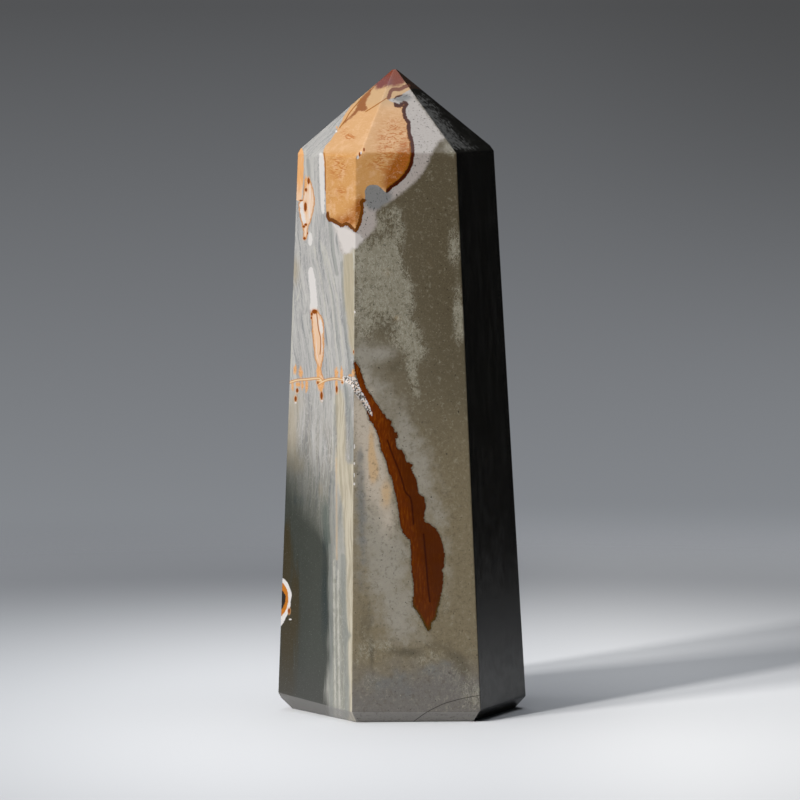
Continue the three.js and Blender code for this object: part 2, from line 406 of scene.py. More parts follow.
# Soft clouds of tone: each has its middle, its half widths and its strength.
CLOUDS = {
    "crust": [
        ((372, 262), (18, 20), 0.8), ((384, 274), (13, 17), 0.8), ((393, 258), (8, 17), 0.8),
        ((399, 284), (12, 17), 1.0), ((388, 298), (16, 18), 1.0), ((372, 300), (16, 26), 0.6),
        ((404, 304), (9, 16), 0.9), ((404, 322), (5, 12), 0.9), ((412, 328), (9, 10), 0.7),
        ((396, 336), (10, 12), 0.5), ((409, 342), (12, 10), 0.9), ((418, 352), (10, 10), 0.8),
        ((411, 362), (5, 13), 0.9), ((413, 378), (5, 12), 0.8), ((417, 392), (4, 8), 0.6),
        ((366, 330), (10, 16), 0.5), ((458, 312), (5, 26), 1.0), ((454, 246), (7, 20), 0.8),
        ((462, 325), (5, 17), 0.6), ((380, 222), (16, 12), 0.6), ((392, 212), (9, 10), 0.5),
        ((401, 232), (6, 17), 0.5), ((384, 246), (13, 9), 0.7), ((432, 654), (13, 6), 0.45),
        ((422, 662), (9, 6), 0.4), ((470, 650), (9, 6), 0.3), ((470, 690), (14, 17), 0.45),
        ((450, 673), (20, 12), 0.3), ((475, 701), (6, 9), 0.6), ((385, 645), (13, 9), 0.5),
        ((362, 262), (9, 26), 0.55), ((361, 305), (8, 26), 0.5), ((370, 682), (10, 14), 0.4),
        ((365, 650), (9, 12), 0.5), ((446, 600), (5, 18), 0.4), ((452, 148), (8, 10), 0.5),
    ],
    "pale": [
        ((366, 354), (18, 11), 0.9), ((385, 353), (11, 8), 0.6), ((362, 374), (9, 16), 0.7),
        ((374, 388), (10, 16), 0.6), ((386, 404), (12, 22), 0.5), ((404, 436), (14, 28), 0.8),
        ((418, 472), (14, 30), 0.9), ((432, 510), (12, 28), 0.6), ((446, 560), (8, 50), 0.4),
        ((372, 520), (22, 55), 0.8), ((392, 572), (22, 50), 0.9), ((404, 615), (20, 24), 0.6),
        ((412, 636), (18, 12), 0.4), ((362, 440), (8, 50), 0.5), ((361, 290), (7, 50), 0.4),
        ((449, 147), (11, 7), 0.55),
    ],
    "pink": [
        ((362, 405), (9, 24), 0.8), ((368, 440), (12, 34), 1.0), ((377, 482), (14, 28), 0.8),
        ((388, 520), (9, 20), 0.5),
    ],
    "ochre": [
        ((371.4, 452), (3.2, 24), 1.3), ((374.8, 470), (4, 12), 1.2), ((386, 494), (6, 16), 0.9),
        ((387, 272), (6, 7), 0.5), ((431, 262), (14, 26), 0.14), ((398, 318), (6, 4), 0.5),
        ((362, 398), (4, 12), 0.4),
    ],
    "slate": [
        ((360, 455), (3.5, 14), 0.6), ((361, 500), (5, 38), 0.9), ((363, 545), (4, 26), 0.5),
        ((361, 585), (6, 14), 0.4), ((378, 684), (14, 9), 0.8), ((400, 678), (13, 9), 0.6),
        ((430, 669), (13, 7), 0.8), ((446, 663), (8, 4), 0.6), ((402, 694), (16, 6), 0.4),
    ],
    "smoke": [
        ((405, 97), (10, 4), 0.7), ((398, 99), (6, 3), 0.5),
        ((368, 192), (8, 9), 0.9), ((378, 194), (9, 9), 0.9), ((386, 198), (8, 7), 0.6),
        ((372, 204), (9, 7), 0.6), ((380, 205), (7, 5), 0.4),
    ],
    "deep": [
        ((404, 652), (20, 5), 0.9), ((440, 646), (13, 7), 0.5), ((371.5, 655), (2.4, 15), 0.8),
        ((453, 656), (13, 7), 0.5), ((385, 324), (11, 13), 0.8), ((396, 366), (11, 8), 0.6),
        ((366, 622), (9, 28), 0.5), ((462, 668), (9, 12), 0.7), ((366, 560), (6, 12), 0.3),
    ],
    "beige": [
        ((292, 425), (7, 38), 0.9), ((300, 402), (7, 14), 0.4), ((295, 270), (5, 16), 0.9),
        ((289, 460), (8, 18), 0.7), ((300, 466), (7, 9), 0.6), ((321, 490), (2.6, 10), 0.8),
        ((325, 425), (5, 20), 0.3), ((240, 440), (14, 40), 0.7),
    ],
    "teal": [
        ((325, 515), (4, 16), 0.9), ((327, 538), (3.6, 12), 0.9), ((325, 604), (5, 58), 0.5),
        ((300, 500), (14, 8), 0.4),
    ],
    "stain": [
        ((286, 552), (5, 30), 1.0), ((283, 575), (4, 20), 0.9), ((288, 640), (8, 44), 0.8),
        ((286, 690), (8, 22), 0.7), ((296, 600), (4, 36), 0.6),
    ],
    "mist": [
        ((419, 103), (7, 8), 0.9), ((430, 115), (8, 10), 0.9), ((441, 128), (9, 9), 0.8),
        ((450, 138), (9, 8), 0.7), ((459, 144), (12, 5), 0.5), ((470, 148), (9, 3), 0.4),
        ((498, 560), (8, 60), 0.15),
    ],
    "fleck": [
        ((394, 138), (15, 18), 1.0), ((400, 162), (12, 14), 0.9), ((386, 160), (12, 12), 0.5),
        ((338, 167), (9, 12), 0.8), ((341, 192), (6, 6), 0.6), ((345, 133), (8, 8), 0.4),
        ((372, 165), (14, 6), 0.3), ((351, 137), (4, 3), 0.9),
    ],
    "ember": [
        ((405, 160), (10, 16), 1.0), ((396, 172), (12, 12), 0.9), ((388, 184), (8, 8), 0.6),
        ((344, 222), (14, 8), 0.7), ((352, 212), (8, 12), 0.4), ((360, 206), (5, 12), 0.8),
        ((330, 196), (5, 24), 0.3),
    ],
}


def outward(turn):
    """The level direction that a side faces."""
    return Vector((math.cos(math.radians(turn)), math.sin(math.radians(turn)), 0.0))


def side_of(normal):
    """The name of the side that a face belongs to, or None for the foot and the tip."""
    if abs(normal.z) > LEVEL:
        return None
    return max(SIDES, key=lambda name: outward(SIDES[name]).dot(normal))


def camera_axes():
    """The camera's place, and the directions to its right, its top and away from it."""
    away = Vector((0.0, math.cos(CAMERA_TILT), -math.sin(CAMERA_TILT)))
    top = Vector((0.0, math.sin(CAMERA_TILT), math.cos(CAMERA_TILT)))
    return CAMERA_AIM - away * CAMERA_REACH, Vector((1.0, 0.0, 0.0)), top, away


def photo_place(points):
    """Where the camera sees points, in the pixels of the photograph's frame."""
    eye, right, top, away = (np.array(v) for v in camera_axes())
    seen = points - eye
    depth = seen @ away
    x = FRAME_PIXELS / 2 + LENS_PIXELS * (seen @ right) / depth
    y = FRAME_PIXELS / 2 - LENS_PIXELS * (seen @ top) / depth
    return np.stack([x, y], axis=1)


def through(points, closed):
    """A smooth line through the points."""
    p = np.array(points, float)
    if closed:
        p = np.concatenate([p[-1:], p, p[:2]])
    else:
        p = np.concatenate([2 * p[:1] - p[1:2], p, 2 * p[-1:] - p[-2:-1]])
    line = []
    for a, b, c, d in zip(p, p[1:], p[2:], p[3:]):
        for t in np.arange(CURVE_STEPS) / CURVE_STEPS:
            cubic = 2 * a - 5 * b + 4 * c - d + t * (3 * (b - c) + d - a)
            line.append(b + 0.5 * t * (c - a + t * cubic))
    if not closed:
        line.append(p[-2])
    return np.array(line)


def to_stretch(place, a, b):
    """The distance of each place from the straight stretch a to b, and its side of it."""
    along = b - a
    offset = place - a
    share = np.clip(offset @ along / max(along @ along, 1e-9), 0.0, 1.0)
    gap = np.hypot(*(offset - share[:, None] * along).T)
    across = (along[0] * offset[:, 1] - along[1] * offset[:, 0]) / max(math.hypot(*along), 1e-9)
    return gap, across


def inside_by(place, outline):
    """How far inside an outline each place is, in pixels. Outside is negative."""
    line = through(outline, True)
    gap = np.full(len(place), FAR)
    odd = np.zeros(len(place), bool)
    for a, b in zip(line, np.roll(line, -1, axis=0)):
        gap = np.minimum(gap, to_stretch(place, a, b)[0])
        crosses = (a[1] > place[:, 1]) != (b[1] > place[:, 1])
        if crosses.any():
            reach = a[0] + (place[:, 1] - a[1]) * (b[0] - a[0]) / (b[1] - a[1] + 1e-12)
            odd ^= crosses & (place[:, 0] < reach)
    return np.where(odd, gap, -gap)


def beside(place, line):
    """The distance from a line, and the signed distance across its nearest stretch."""
    gap = np.full(len(place), FAR)
    side = np.full(len(place), FAR)
    for a, b in zip(line, line[1:]):
        here, across = to_stretch(place, a, b)
        nearer = here < gap
        gap = np.where(nearer, here, gap)
        side = np.where(nearer, across, side)
    return gap, side


def corner_lines(mesh):
    """The six edges that run up the stone, as heights and places, by the side that each one starts."""
    lines = {}
    for index, name in enumerate(ROUND):
        pair = {ROUND[index - 1], name}
        corners = [v.co for v in mesh.verts if pair <= {side_of(f.normal) for f in v.link_faces}]
        corners.sort(key=lambda co: co.z)
        lines[name] = np.array([(co.z, co.x, co.y) for co in corners])
    return lines


def corner_at(line, heights):
    """Where one of the edges is at each height."""
    x = np.interp(heights, line[:, 0], line[:, 1])
    y = np.interp(heights, line[:, 0], line[:, 2])
    return np.stack([x, y], axis=1)


def sides_of(points, lines):
    """The number of the side that each point is on."""
    middle = np.array(MIDDLE)
    flat = points[:, :2] - middle
    found = np.zeros(len(points), int)
    for index, name in enumerate(ROUND):
        start = corner_at(lines[name], points[:, 2]) - middle
        stop = corner_at(lines[ROUND[(index + 1) % len(ROUND)]], points[:, 2]) - middle
        after = start[:, 0] * flat[:, 1] - start[:, 1] * flat[:, 0] >= 0
        before = flat[:, 0] * stop[:, 1] - flat[:, 1] * stop[:, 0] >= 0
        found[after & before] = index
    return found


def drawing_place(points, lines):
    """Each point's place on the drawing: as the camera sees it, or unrolled past the outline when hidden."""
    place = photo_place(points)
    sides = sides_of(points, lines)
    heights = points[:, 2:]

    def edge(name):
        return corner_at(lines[name], points[:, 2])

    def seen_edge(name):
        return photo_place(np.hstack([edge(name), heights]))

    def gap(a, b):
        return 1000.0 * UNROLL * np.hypot(*(a - b).T)

    flat = points[:, :2]
    left, right = seen_edge("left"), seen_edge("back_right")
    unrolled = {
        "back_left": (left, -gap(flat, edge("left"))),
        "back": (left, -gap(edge("left"), edge("back_left")) - gap(flat, edge("back_left"))),
        "back_right": (right, gap(flat, edge("back_right"))),
    }
    for name, (start, shift) in unrolled.items():
        here = sides == ROUND.index(name)
        place[here, 0] = (start[:, 0] + shift)[here]
        place[here, 1] = start[here, 1]
    front_edge = seen_edge("front")[:, 0] - place[:, 0]
    right_edge = place[:, 0] - seen_edge("right")[:, 0]
    return place, front_edge, right_edge


def store(mesh, name, values):
    """Keeps one value or vector for each vertex of the mesh."""
    values = np.asarray(values, np.float32)
    kind = "FLOAT" if values.ndim == 1 else "FLOAT_VECTOR"
    attribute = mesh.attributes.new(name, kind, "POINT")
    attribute.data.foreach_set("value" if kind == "FLOAT" else "vector", values.ravel())


def read(mesh, name, size):
    """The stored values of every vertex."""
    kind = "value" if size == 1 else "vector"
    values = np.zeros(len(mesh.vertices) * size)
    mesh.attributes[name].data.foreach_get(kind, values)
    return values.reshape(-1, size)


def dab_sizes(place, dabs):
    """How far each place is from the middle of its nearest dab, as a share of that dab's half widths."""
    offsets = [(place - np.array(middle)) / np.array(half) for middle, half in dabs]
    return np.min([np.hypot(*offset.T) for offset in offsets], axis=0)


def nearest_line(place, drawn):
    """Each place's distance from the nearest line and its signed distance across it."""
    fields = np.array([beside(place, through(line, False)) for line in drawn])
    nearest = fields[:, 0].argmin(axis=0)
    return fields[nearest, :, np.arange(len(place))]


def cloud_strength(place, clouds):
    """How strong a soft cloud of tone is at each place."""
    total = np.zeros(len(place))
    for middle, half, strength in clouds:
        share = (place - np.array(middle)) / np.array(half)
        total += strength * np.exp(-(share ** 2).sum(axis=1))
    return np.clip(total, 0.0, 1.2)


def flow_of(place, front_edge):
    """Where each place is across the streaks of the left side, which lean and then follow the front edge."""
    y = place[:, 1]
    up = np.clip((BEND_LOW - y) / (BEND_LOW - BEND_HIGH), 0.0, 1.0)
    lean = BEND_REACH * up * up * (3.0 - 2.0 * up)
    over_tip = TIP_LEAN * np.clip(SHOULDER_ROW - y, 0.0, None)
    return front_edge + over_tip - lean


def flat_vectors(pairs):
    """Pairs of numbers as vectors whose third part is zero."""
    return np.hstack([pairs, np.zeros((len(pairs), 1))])


def store_markings(mesh, lines):
    """Works out how far every vertex is inside each marking, for the material to paint by."""
    points = np.zeros(len(mesh.vertices) * 3)
    mesh.vertices.foreach_get("co", points)
    points = points.reshape(-1, 3)
    place, front_edge, right_edge = drawing_place(points, lines)
    store(mesh, "drawing", np.stack([place[:, 0], place[:, 1], front_edge], axis=1))
    store(mesh, "right_edge", right_edge)
    normals = np.zeros(len(mesh.vertices) * 3)
    mesh.vertices.foreach_get("normal", normals)
    # How far each vertex faces down: the material paints bounce light on the foot's bevel by this.
    store(mesh, "faces_down", -normals[2::3])
    store(mesh, "flow", flow_of(place, front_edge))
    for name, outlines in OUTLINES.items():
        store(mesh, name, np.max([inside_by(place, outline) for outline in outlines], axis=0))
    for name, thick in THICK_LINES.items():
        fields = [half - beside(place, through(line, False))[0] for line, half in thick]
        store(mesh, name, np.max(fields, axis=0))
    for name, drawn in FINE_LINES.items():
        store(mesh, name, flat_vectors(nearest_line(place, drawn)))
    for name, clouds in CLOUDS.items():
        store(mesh, name, cloud_strength(place, clouds))


def select_only(mesh, chosen):
    """Selects only the chosen edges or faces of the edited mesh."""
    bpy.ops.mesh.select_all(action="DESELECT")
    for item in chosen:
        item.select_set(True)
    bmesh.update_edit_mesh(mesh)


def cut_into_columns(stone, name, step):
    """Cuts all faces of one side into upright strips, with the bevel below it and the point face above."""
    along = outward(SIDES[name] + 90.0)
    edited = bmesh.from_edit_mesh(stone.data)
    reach = [v.co.dot(along) for f in edited.faces if side_of(f.normal) == name for v in f.verts]
    low, high = min(reach), max(reach)
    count = round((high - low) / step)
    for index in range(1, count):
        edited = bmesh.from_edit_mesh(stone.data)
        select_only(stone.data, [f for f in edited.faces if side_of(f.normal) == name])
        place = along * (low + (high - low) * index / count)
        bpy.ops.mesh.bisect(plane_co=place, plane_no=along, threshold=CUT_GAP)


def cut_into_rows(low, high, step):
    """Cuts the whole stone level between two heights."""
    count = max(1, round((high - low) / step))
    for index in range(1, count + 1):
        bpy.ops.mesh.select_all(action="SELECT")
        height = low + (high - low) * index / count
        bpy.ops.mesh.bisect(plane_co=(0, 0, height), plane_no=(0, 0, 1), threshold=CUT_GAP)


def copy_of(node):
    """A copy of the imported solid, picked and in edit mode."""
    bpy.ops.object.select_all(action="DESELECT")
    stone = node.copy()
    stone.data = node.data.copy()
    stone.name = "stone"
    stone.data.name = "stone"
    stone.parent = None
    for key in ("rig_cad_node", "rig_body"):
        if key in stone:
            del stone[key]
    bpy.context.scene.collection.objects.link(stone)
    bpy.context.view_layer.objects.active = stone
    stone.select_set(True)
    bpy.ops.object.mode_set(mode="EDIT")
    return stone


def grind(node, sizes):
    """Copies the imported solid, rounds its edges and cuts its faces into a fine grid."""
    stone = copy_of(node)
    bpy.context.tool_settings.mesh_select_mode = (False, True, False)
    bpy.ops.mesh.select_all(action="SELECT")
    bpy.ops.mesh.remove_doubles(threshold=MERGE_GAP)
    bpy.ops.mesh.dissolve_limited(angle_limit=FLAT_TURN)
    edited = bmesh.from_edit_mesh(stone.data)
    lines = corner_lines(edited)
    top = max(v.co.z for v in edited.verts)
    select_only(stone.data, [e for e in edited.edges if e.calc_length() > SHORTEST_EDGE])
    bpy.ops.mesh.bevel(offset=sizes.edge_round, segments=2, profile=0.5, affect="EDGES", clamp_overlap=False)
    bpy.context.tool_settings.mesh_select_mode = (False, False, True)
    coarse = 1.0
    for name in SIDES:
        seen = name in ("front", "left")
        cut_into_columns(stone, name, coarse * (sizes.seen_step if seen else sizes.hidden_step))
    cut_into_rows(0.0, SHOULDER_HEIGHT, sizes.row_step * coarse)
    cut_into_rows(SHOULDER_HEIGHT, top - sizes.edge_round, sizes.tip_step * coarse)
    bpy.ops.object.mode_set(mode="OBJECT")
    bpy.ops.object.shade_smooth()
    return stone, lines


def sink(stone, name, shares, depth):
    """Sinks vertices into the stone, each by its share of the depth."""
    group = stone.vertex_groups.new(name=name)
    for index in np.flatnonzero(shares > 0.01):
        group.add([int(index)], float(shares[index]), "REPLACE")
    sunk = stone.modifiers.new(name, "DISPLACE")
    sunk.vertex_group = name
    sunk.mid_level = 0.0
    sunk.strength = -depth
    bpy.ops.object.modifier_apply(modifier=name)
    stone.vertex_groups.clear()


def carve(stone, sizes):
    """Sinks the crevice of crystals beside the vein and the small chips along the edges."""
    inside = read(stone.data, "druzy", 1)[:, 0]
    lumps = np.random.default_rng(CRYSTAL_SEED).random(len(inside))
    sink(stone, "crevice", np.clip((inside + 0.5) / 2.5, 0.0, 1.0) * (0.4 + 0.6 * lumps), sizes.crevice_depth)
    place = read(stone.data, "drawing", 3)[:, :2]
    sink(stone, "chips", np.clip(1.6 - dab_sizes(place, GLINTS), 0.0, 1.0), sizes.chip_depth)


class Nodes:
    """Adds nodes to one tree, with each input joined to another node or set to a value."""

    def __init__(self, tree):
        self.tree = tree

    def join(self, socket, value):
        if isinstance(value, bpy.types.NodeSocket):
            self.tree.links.new(value, socket)
        elif hasattr(value, "__len__") and len(value) == 3 and len(socket.default_value) == 4:
            socket.default_value = (*value, 1.0)
        else:
            socket.default_value = value

    def add(self, kind, inputs=None, **settings):
        node = self.tree.nodes.new(kind)
        for name, value in settings.items():
            setattr(node, name, value)
        for key, value in (inputs or {}).items():
            self.join(node.inputs[key], value)
        return node

    def math(self, operation, *values, clamp=False):
        node = self.add("ShaderNodeMath", operation=operation, use_clamp=clamp)
        for socket, value in zip(node.inputs, values):
            self.join(socket, value)
        return node.outputs[0]

    def vector(self, operation, *values):
        node = self.add("ShaderNodeVectorMath", operation=operation)
        for socket, value in zip(node.inputs, values):
            self.join(socket, value)
        return node.outputs[0]

    def stretch(self, place, scale, turn=(0.0, 0.0, 0.0)):
        inputs = {"Vector": place, "Scale": scale, "Rotation": turn}
        return self.add("ShaderNodeMapping", inputs).outputs[0]

    def noise(self, place, scale, detail=2.0, rough=0.5, warp=0.0):
        inputs = {"Vector": place, "Scale": scale, "Detail": detail, "Roughness": rough, "Distortion": warp}
        return self.add("ShaderNodeTexNoise", inputs).outputs["Fac"]

    def smooth(self, value, low, high, bottom=0.0, top=1.0):
        """bottom where value is under low, top where it is over high, and a soft step between."""
        inputs = {"Value": value, "From Min": low, "From Max": high, "To Min": bottom, "To Max": top}
        return self.add("ShaderNodeMapRange", inputs, interpolation_type="SMOOTHSTEP").outputs[0]

    def over(self, under, colour, mask):
        """Paints a colour over another one where mask is 1."""
        node = self.add("ShaderNodeMix", data_type="RGBA", blend_type="MIX")
        self.join(node.inputs[0], mask)
        self.join(node.inputs[6], under)
        self.join(node.inputs[7], colour)
        return node.outputs[2]

    def value(self, name):
        return self.add("ShaderNodeAttribute", attribute_name=name).outputs["Fac"]

    def parts(self, name):
        vector = self.add("ShaderNodeAttribute", attribute_name=name).outputs["Vector"]
        return vector, self.add("ShaderNodeSeparateXYZ", {"Vector": vector}).outputs


def new_group(name, inputs, outputs):
    """An empty node group with its sockets, its input node's outputs and its output node."""
    group = bpy.data.node_groups.new(name, "ShaderNodeTree")
    for socket, kind, default in inputs:
        made = group.interface.new_socket(socket, in_out="INPUT", socket_type=kind)
        if default is not None:
            made.default_value = default
    for socket, kind in outputs:
        group.interface.new_socket(socket, in_out="OUTPUT", socket_type=kind)
    nodes = Nodes(group)
    return nodes, nodes.add("NodeGroupInput").outputs, nodes.add("NodeGroupOutput").inputs


def ragged_edge_group():
    """A mask that is 1 inside a marking, with a rim as ragged as the stone's own."""
    nodes, given, result = new_group(
        "Ragged Edge",
        [
            ("Inside", "NodeSocketFloat", 0.0),
            ("Place", "NodeSocketVector", None),
            ("Ragged", "NodeSocketFloat", 1.0),
            ("Grain", "NodeSocketFloat", 1.0),
            ("Soft", "NodeSocketFloat", 0.4),
            ("Shift", "NodeSocketFloat", 0.0),
        ],
        [("Mask", "NodeSocketFloat")],
    )
    noise = nodes.noise(given["Place"], given["Grain"], detail=3.0, rough=0.6)
    reach = nodes.math("MULTIPLY", given["Ragged"], 3.0)
    push = nodes.math("MULTIPLY", nodes.math("SUBTRACT", noise, 0.5), reach)
    inside = nodes.math("ADD", nodes.math("SUBTRACT", given["Inside"], given["Shift"]), push)
    low = nodes.math("MULTIPLY", given["Soft"], -1.0)
    nodes.join(result["Mask"], nodes.smooth(inside, low, given["Soft"]))
    return nodes.tree


def speckle_group():
    """A mask of small separate specks."""
    nodes, given, result = new_group(
        "Specks",
        [
            ("Place", "NodeSocketVector", None),
            ("Grain", "NodeSocketFloat", 2.0),
            ("Start", "NodeSocketFloat", 0.6),
            ("Stop", "NodeSocketFloat", 0.7),
        ],
        [("Mask", "NodeSocketFloat")],
    )
    noise = nodes.noise(given["Place"], given["Grain"], detail=2.0, rough=0.6)
    nodes.join(result["Mask"], nodes.smooth(noise, given["Start"], given["Stop"]))
    return nodes.tree


def dab_group():
    """How far a place is from the middle of an oval dab, as a share of its half widths."""
    nodes, given, result = new_group(
        "Dab",
        [
            ("Place", "NodeSocketVector", None),
            ("Middle", "NodeSocketVector", None),
            ("Half", "NodeSocketVector", None),
        ],
        [("Size", "NodeSocketFloat")],
    )
    offset = nodes.vector("DIVIDE", nodes.vector("SUBTRACT", given["Place"], given["Middle"]), given["Half"])
    size = nodes.add("ShaderNodeVectorMath", {0: offset}, operation="LENGTH").outputs["Value"]
    nodes.join(result["Size"], size)
    return nodes.tree


class Painter(Nodes):
    """Paints the stone, with the coordinates and groups that its markings share."""

    def __init__(self, tree, groups):
        super().__init__(tree)
        self.groups = groups
        object_place = self.add("ShaderNodeTexCoord").outputs["Object"]
        self.solid = self.vector("MULTIPLY", object_place, (1000.0, 1000.0, 1000.0))
        self.drawing, self.at = self.parts("drawing")
        self.flat = self.vector("MULTIPLY", self.drawing, (1.0, 1.0, 0.0))
        self.grain = self.noise(self.solid, 2.6, detail=4.0, rough=0.72)
        self.cloudy = self.noise(self.solid, 0.35, detail=5.0, rough=0.62)
        self.broad = self.noise(self.solid, 0.07, detail=3.0)
        self.broken = self.noise(self.solid, 0.9, detail=5.0, rough=0.7, warp=0.4)
        # Faces that look down, the foot's bevel, get a paler tone as painted bounce light.
        self.bevel = self.smooth(self.value("faces_down"), 0.25, 0.45)

    def use(self, group, **inputs):
        node = self.add("ShaderNodeGroup", node_tree=self.groups[group])
        for key, value in inputs.items():
            self.join(node.inputs[key.title()], value)
        return node.outputs[0]

    def inside(self, name, ragged=1.0, grain=1.2, soft=0.5, shift=0.0):
        shape = {"ragged": ragged, "grain": grain, "soft": soft, "shift": shift}
        return self.use("ragged", inside=self.value(name), place=self.solid, **shape)

    def specks(self, grain, start, stop):
        return self.use("specks", place=self.solid, grain=grain, start=start, stop=stop)

    def cloud(self, name, low=0.35, high=0.65, amount=0.5, top=1.0, noise=None):
        """A mask that follows a soft cloud, broken up by noise."""
        noise = self.cloudy if noise is None else noise
        push = self.math("MULTIPLY_ADD", noise, amount * 2.0, -amount)
        strength = self.value(name)
        held = self.math("MULTIPLY", push, self.smooth(strength, 0.02, 0.25))
        return self.smooth(self.math("ADD", strength, held), low, high, top=top)

    def dabs(self, dabs, grown=1.0, soft=0.25, wobble=0.5, noise=None):
        """A mask of small oval dabs on the drawing."""
        size = None
        for (x, y), (across, high) in dabs:
            half = (across * grown, high * grown, 1.0)
            one = self.use("dab", place=self.flat, middle=(x, y, 0.0), half=half)
            size = one if size is None else self.math("MINIMUM", size, one)
        noise = self.grain if noise is None else noise
        size = self.math("ADD", size, self.math("MULTIPLY_ADD", noise, wobble, -0.5 * wobble))
        return self.smooth(size, 1.0 + soft, 1.0 - soft)

    def line(self, name, half, soft=0.35):
        """A mask of the fine lines, of even width."""
        parts = self.parts(name)[1]
        near = self.smooth(parts[0], 3.2, 2.2)
        width = self.math("ABSOLUTE", parts[1])
        return self.math("MULTIPLY", near, self.smooth(width, half + soft, half - soft))


def flow_noise(paint, across, along, detail=3.0, rough=0.6, seed=0.0):
    """Noise drawn out along the streaks of the left side."""
    node = paint.add("ShaderNodeCombineXYZ")
    wander = paint.noise(paint.solid, 0.09, detail=2.0)
    across_place = paint.math("MULTIPLY_ADD", wander, 9.0, paint.value("flow"))
    paint.join(node.inputs[0], paint.math("MULTIPLY", across_place, across))
    paint.join(node.inputs[1], paint.math("MULTIPLY", paint.at[1], along))
    node.inputs[2].default_value = seed
    return paint.noise(node.outputs[0], 1.0, detail=detail, rough=rough)


def paint_crust(paint, ground, colours):
    """Pale grains and branching lines with dark pits between them, thickest where the crust clouds are."""
    frost = paint.noise(paint.solid, 1.0, detail=7.0, rough=0.82, warp=0.6)
    upright = paint.stretch(paint.solid, (1.0, 1.0, 0.5))
    wisps = paint.noise(upright, 0.5, detail=5.0, rough=0.65, warp=0.5)
    branching = paint.noise(upright, 0.8, detail=5.0, rough=0.68, warp=1.2)
    texture = paint.math("MULTIPLY_ADD", frost, 0.6, paint.math("MULTIPLY", wisps, 0.4))
    push = paint.math("MULTIPLY_ADD", texture, 7.0, -3.95)
    strength = paint.value("crust")
    crusted = paint.math("MULTIPLY_ADD", strength, 1.25, push)
    ground = paint.over(ground, colours.crust, paint.smooth(crusted, 0.0, 0.8, top=0.55))
    near = paint.smooth(strength, 0.1, 0.6)
    off_line = paint.math("ABSOLUTE", paint.math("SUBTRACT", branching, 0.5))
    lines = paint.smooth(off_line, 0.035, 0.005, top=0.6)
    ground = paint.over(ground, colours.crust_pale, paint.math("MULTIPLY", near, lines))
    pits = paint.smooth(frost, 0.47, 0.38, top=0.7)
    return paint.over(ground, colours.deep, paint.math("MULTIPLY", near, pits))


def paint_front_ground(paint, colours):
    """The olive ground of the front, with crusts, pale and pink clouds, a slate foot, and painted bounce
    light on the bevel below it.
    """
    down = paint.math("MULTIPLY_ADD", paint.broad, 90.0, paint.math("ADD", paint.at[1], -45.0))
    ground = paint.over(colours.olive_dark, colours.olive, paint.smooth(down, *OLIVE_ROWS))
    across = paint.smooth(paint.at[0], *PALE_COLUMNS)
    lighter = paint.math("MULTIPLY", across, paint.smooth(paint.at[1], *PALE_ROWS))
    ground = paint.over(ground, colours.olive_pale, lighter)
    ground = paint.over(ground, colours.olive_mid, paint.smooth(down, *OLIVE_MID_ROWS, top=0.9))
    ground = paint.over(ground, colours.foot, paint.smooth(down, *FOOT_ROWS))
    # Painted bounce light: the bevel that faces down is painted paler.
    ground = paint.over(ground, colours.foot_bevel_bounce_light, paint.bevel)
    ground = paint.over(ground, colours.pale, paint.cloud("pale", 0.0, 1.1, amount=0.75, top=0.75))
    ground = paint.over(ground, colours.pink, paint.cloud("pink", 0.0, 0.8, amount=0.3, top=0.95))
    ground = paint.over(ground, colours.ochre, paint.cloud("ochre", 0.1, 1.0, amount=0.4, top=0.75))
    ground = paint.over(ground, colours.deep, paint.cloud("deep", 0.05, 0.95, amount=0.5, top=0.9))
    ground = paint.over(ground, colours.slate, paint.cloud("slate", 0.1, 1.0, amount=0.7, top=0.7))
    ground = paint_crust(paint, ground, colours)
    ground = paint.over(ground, colours.deep, paint.smooth(paint.broken, 0.52, 0.66, top=0.45))
    ground = paint.over(ground, colours.crust, paint.smooth(paint.broken, 0.46, 0.32, top=0.30))
    ground = paint.over(ground, colours.crust, paint.smooth(paint.grain, 0.43, 0.28, top=0.40))
    ground = paint.over(ground, colours.pit, paint.smooth(paint.grain, 0.57, 0.72, top=0.45))
    pale_specks = paint.math("MULTIPLY", paint.specks(1.1, 0.72, 0.77), 0.6)
    dark_specks = paint.math("MULTIPLY", paint.specks(1.3, 0.69, 0.74), 0.75)
    ground = paint.over(ground, colours.crust, pale_specks)
    return paint.over(ground, colours.pit, dark_specks)


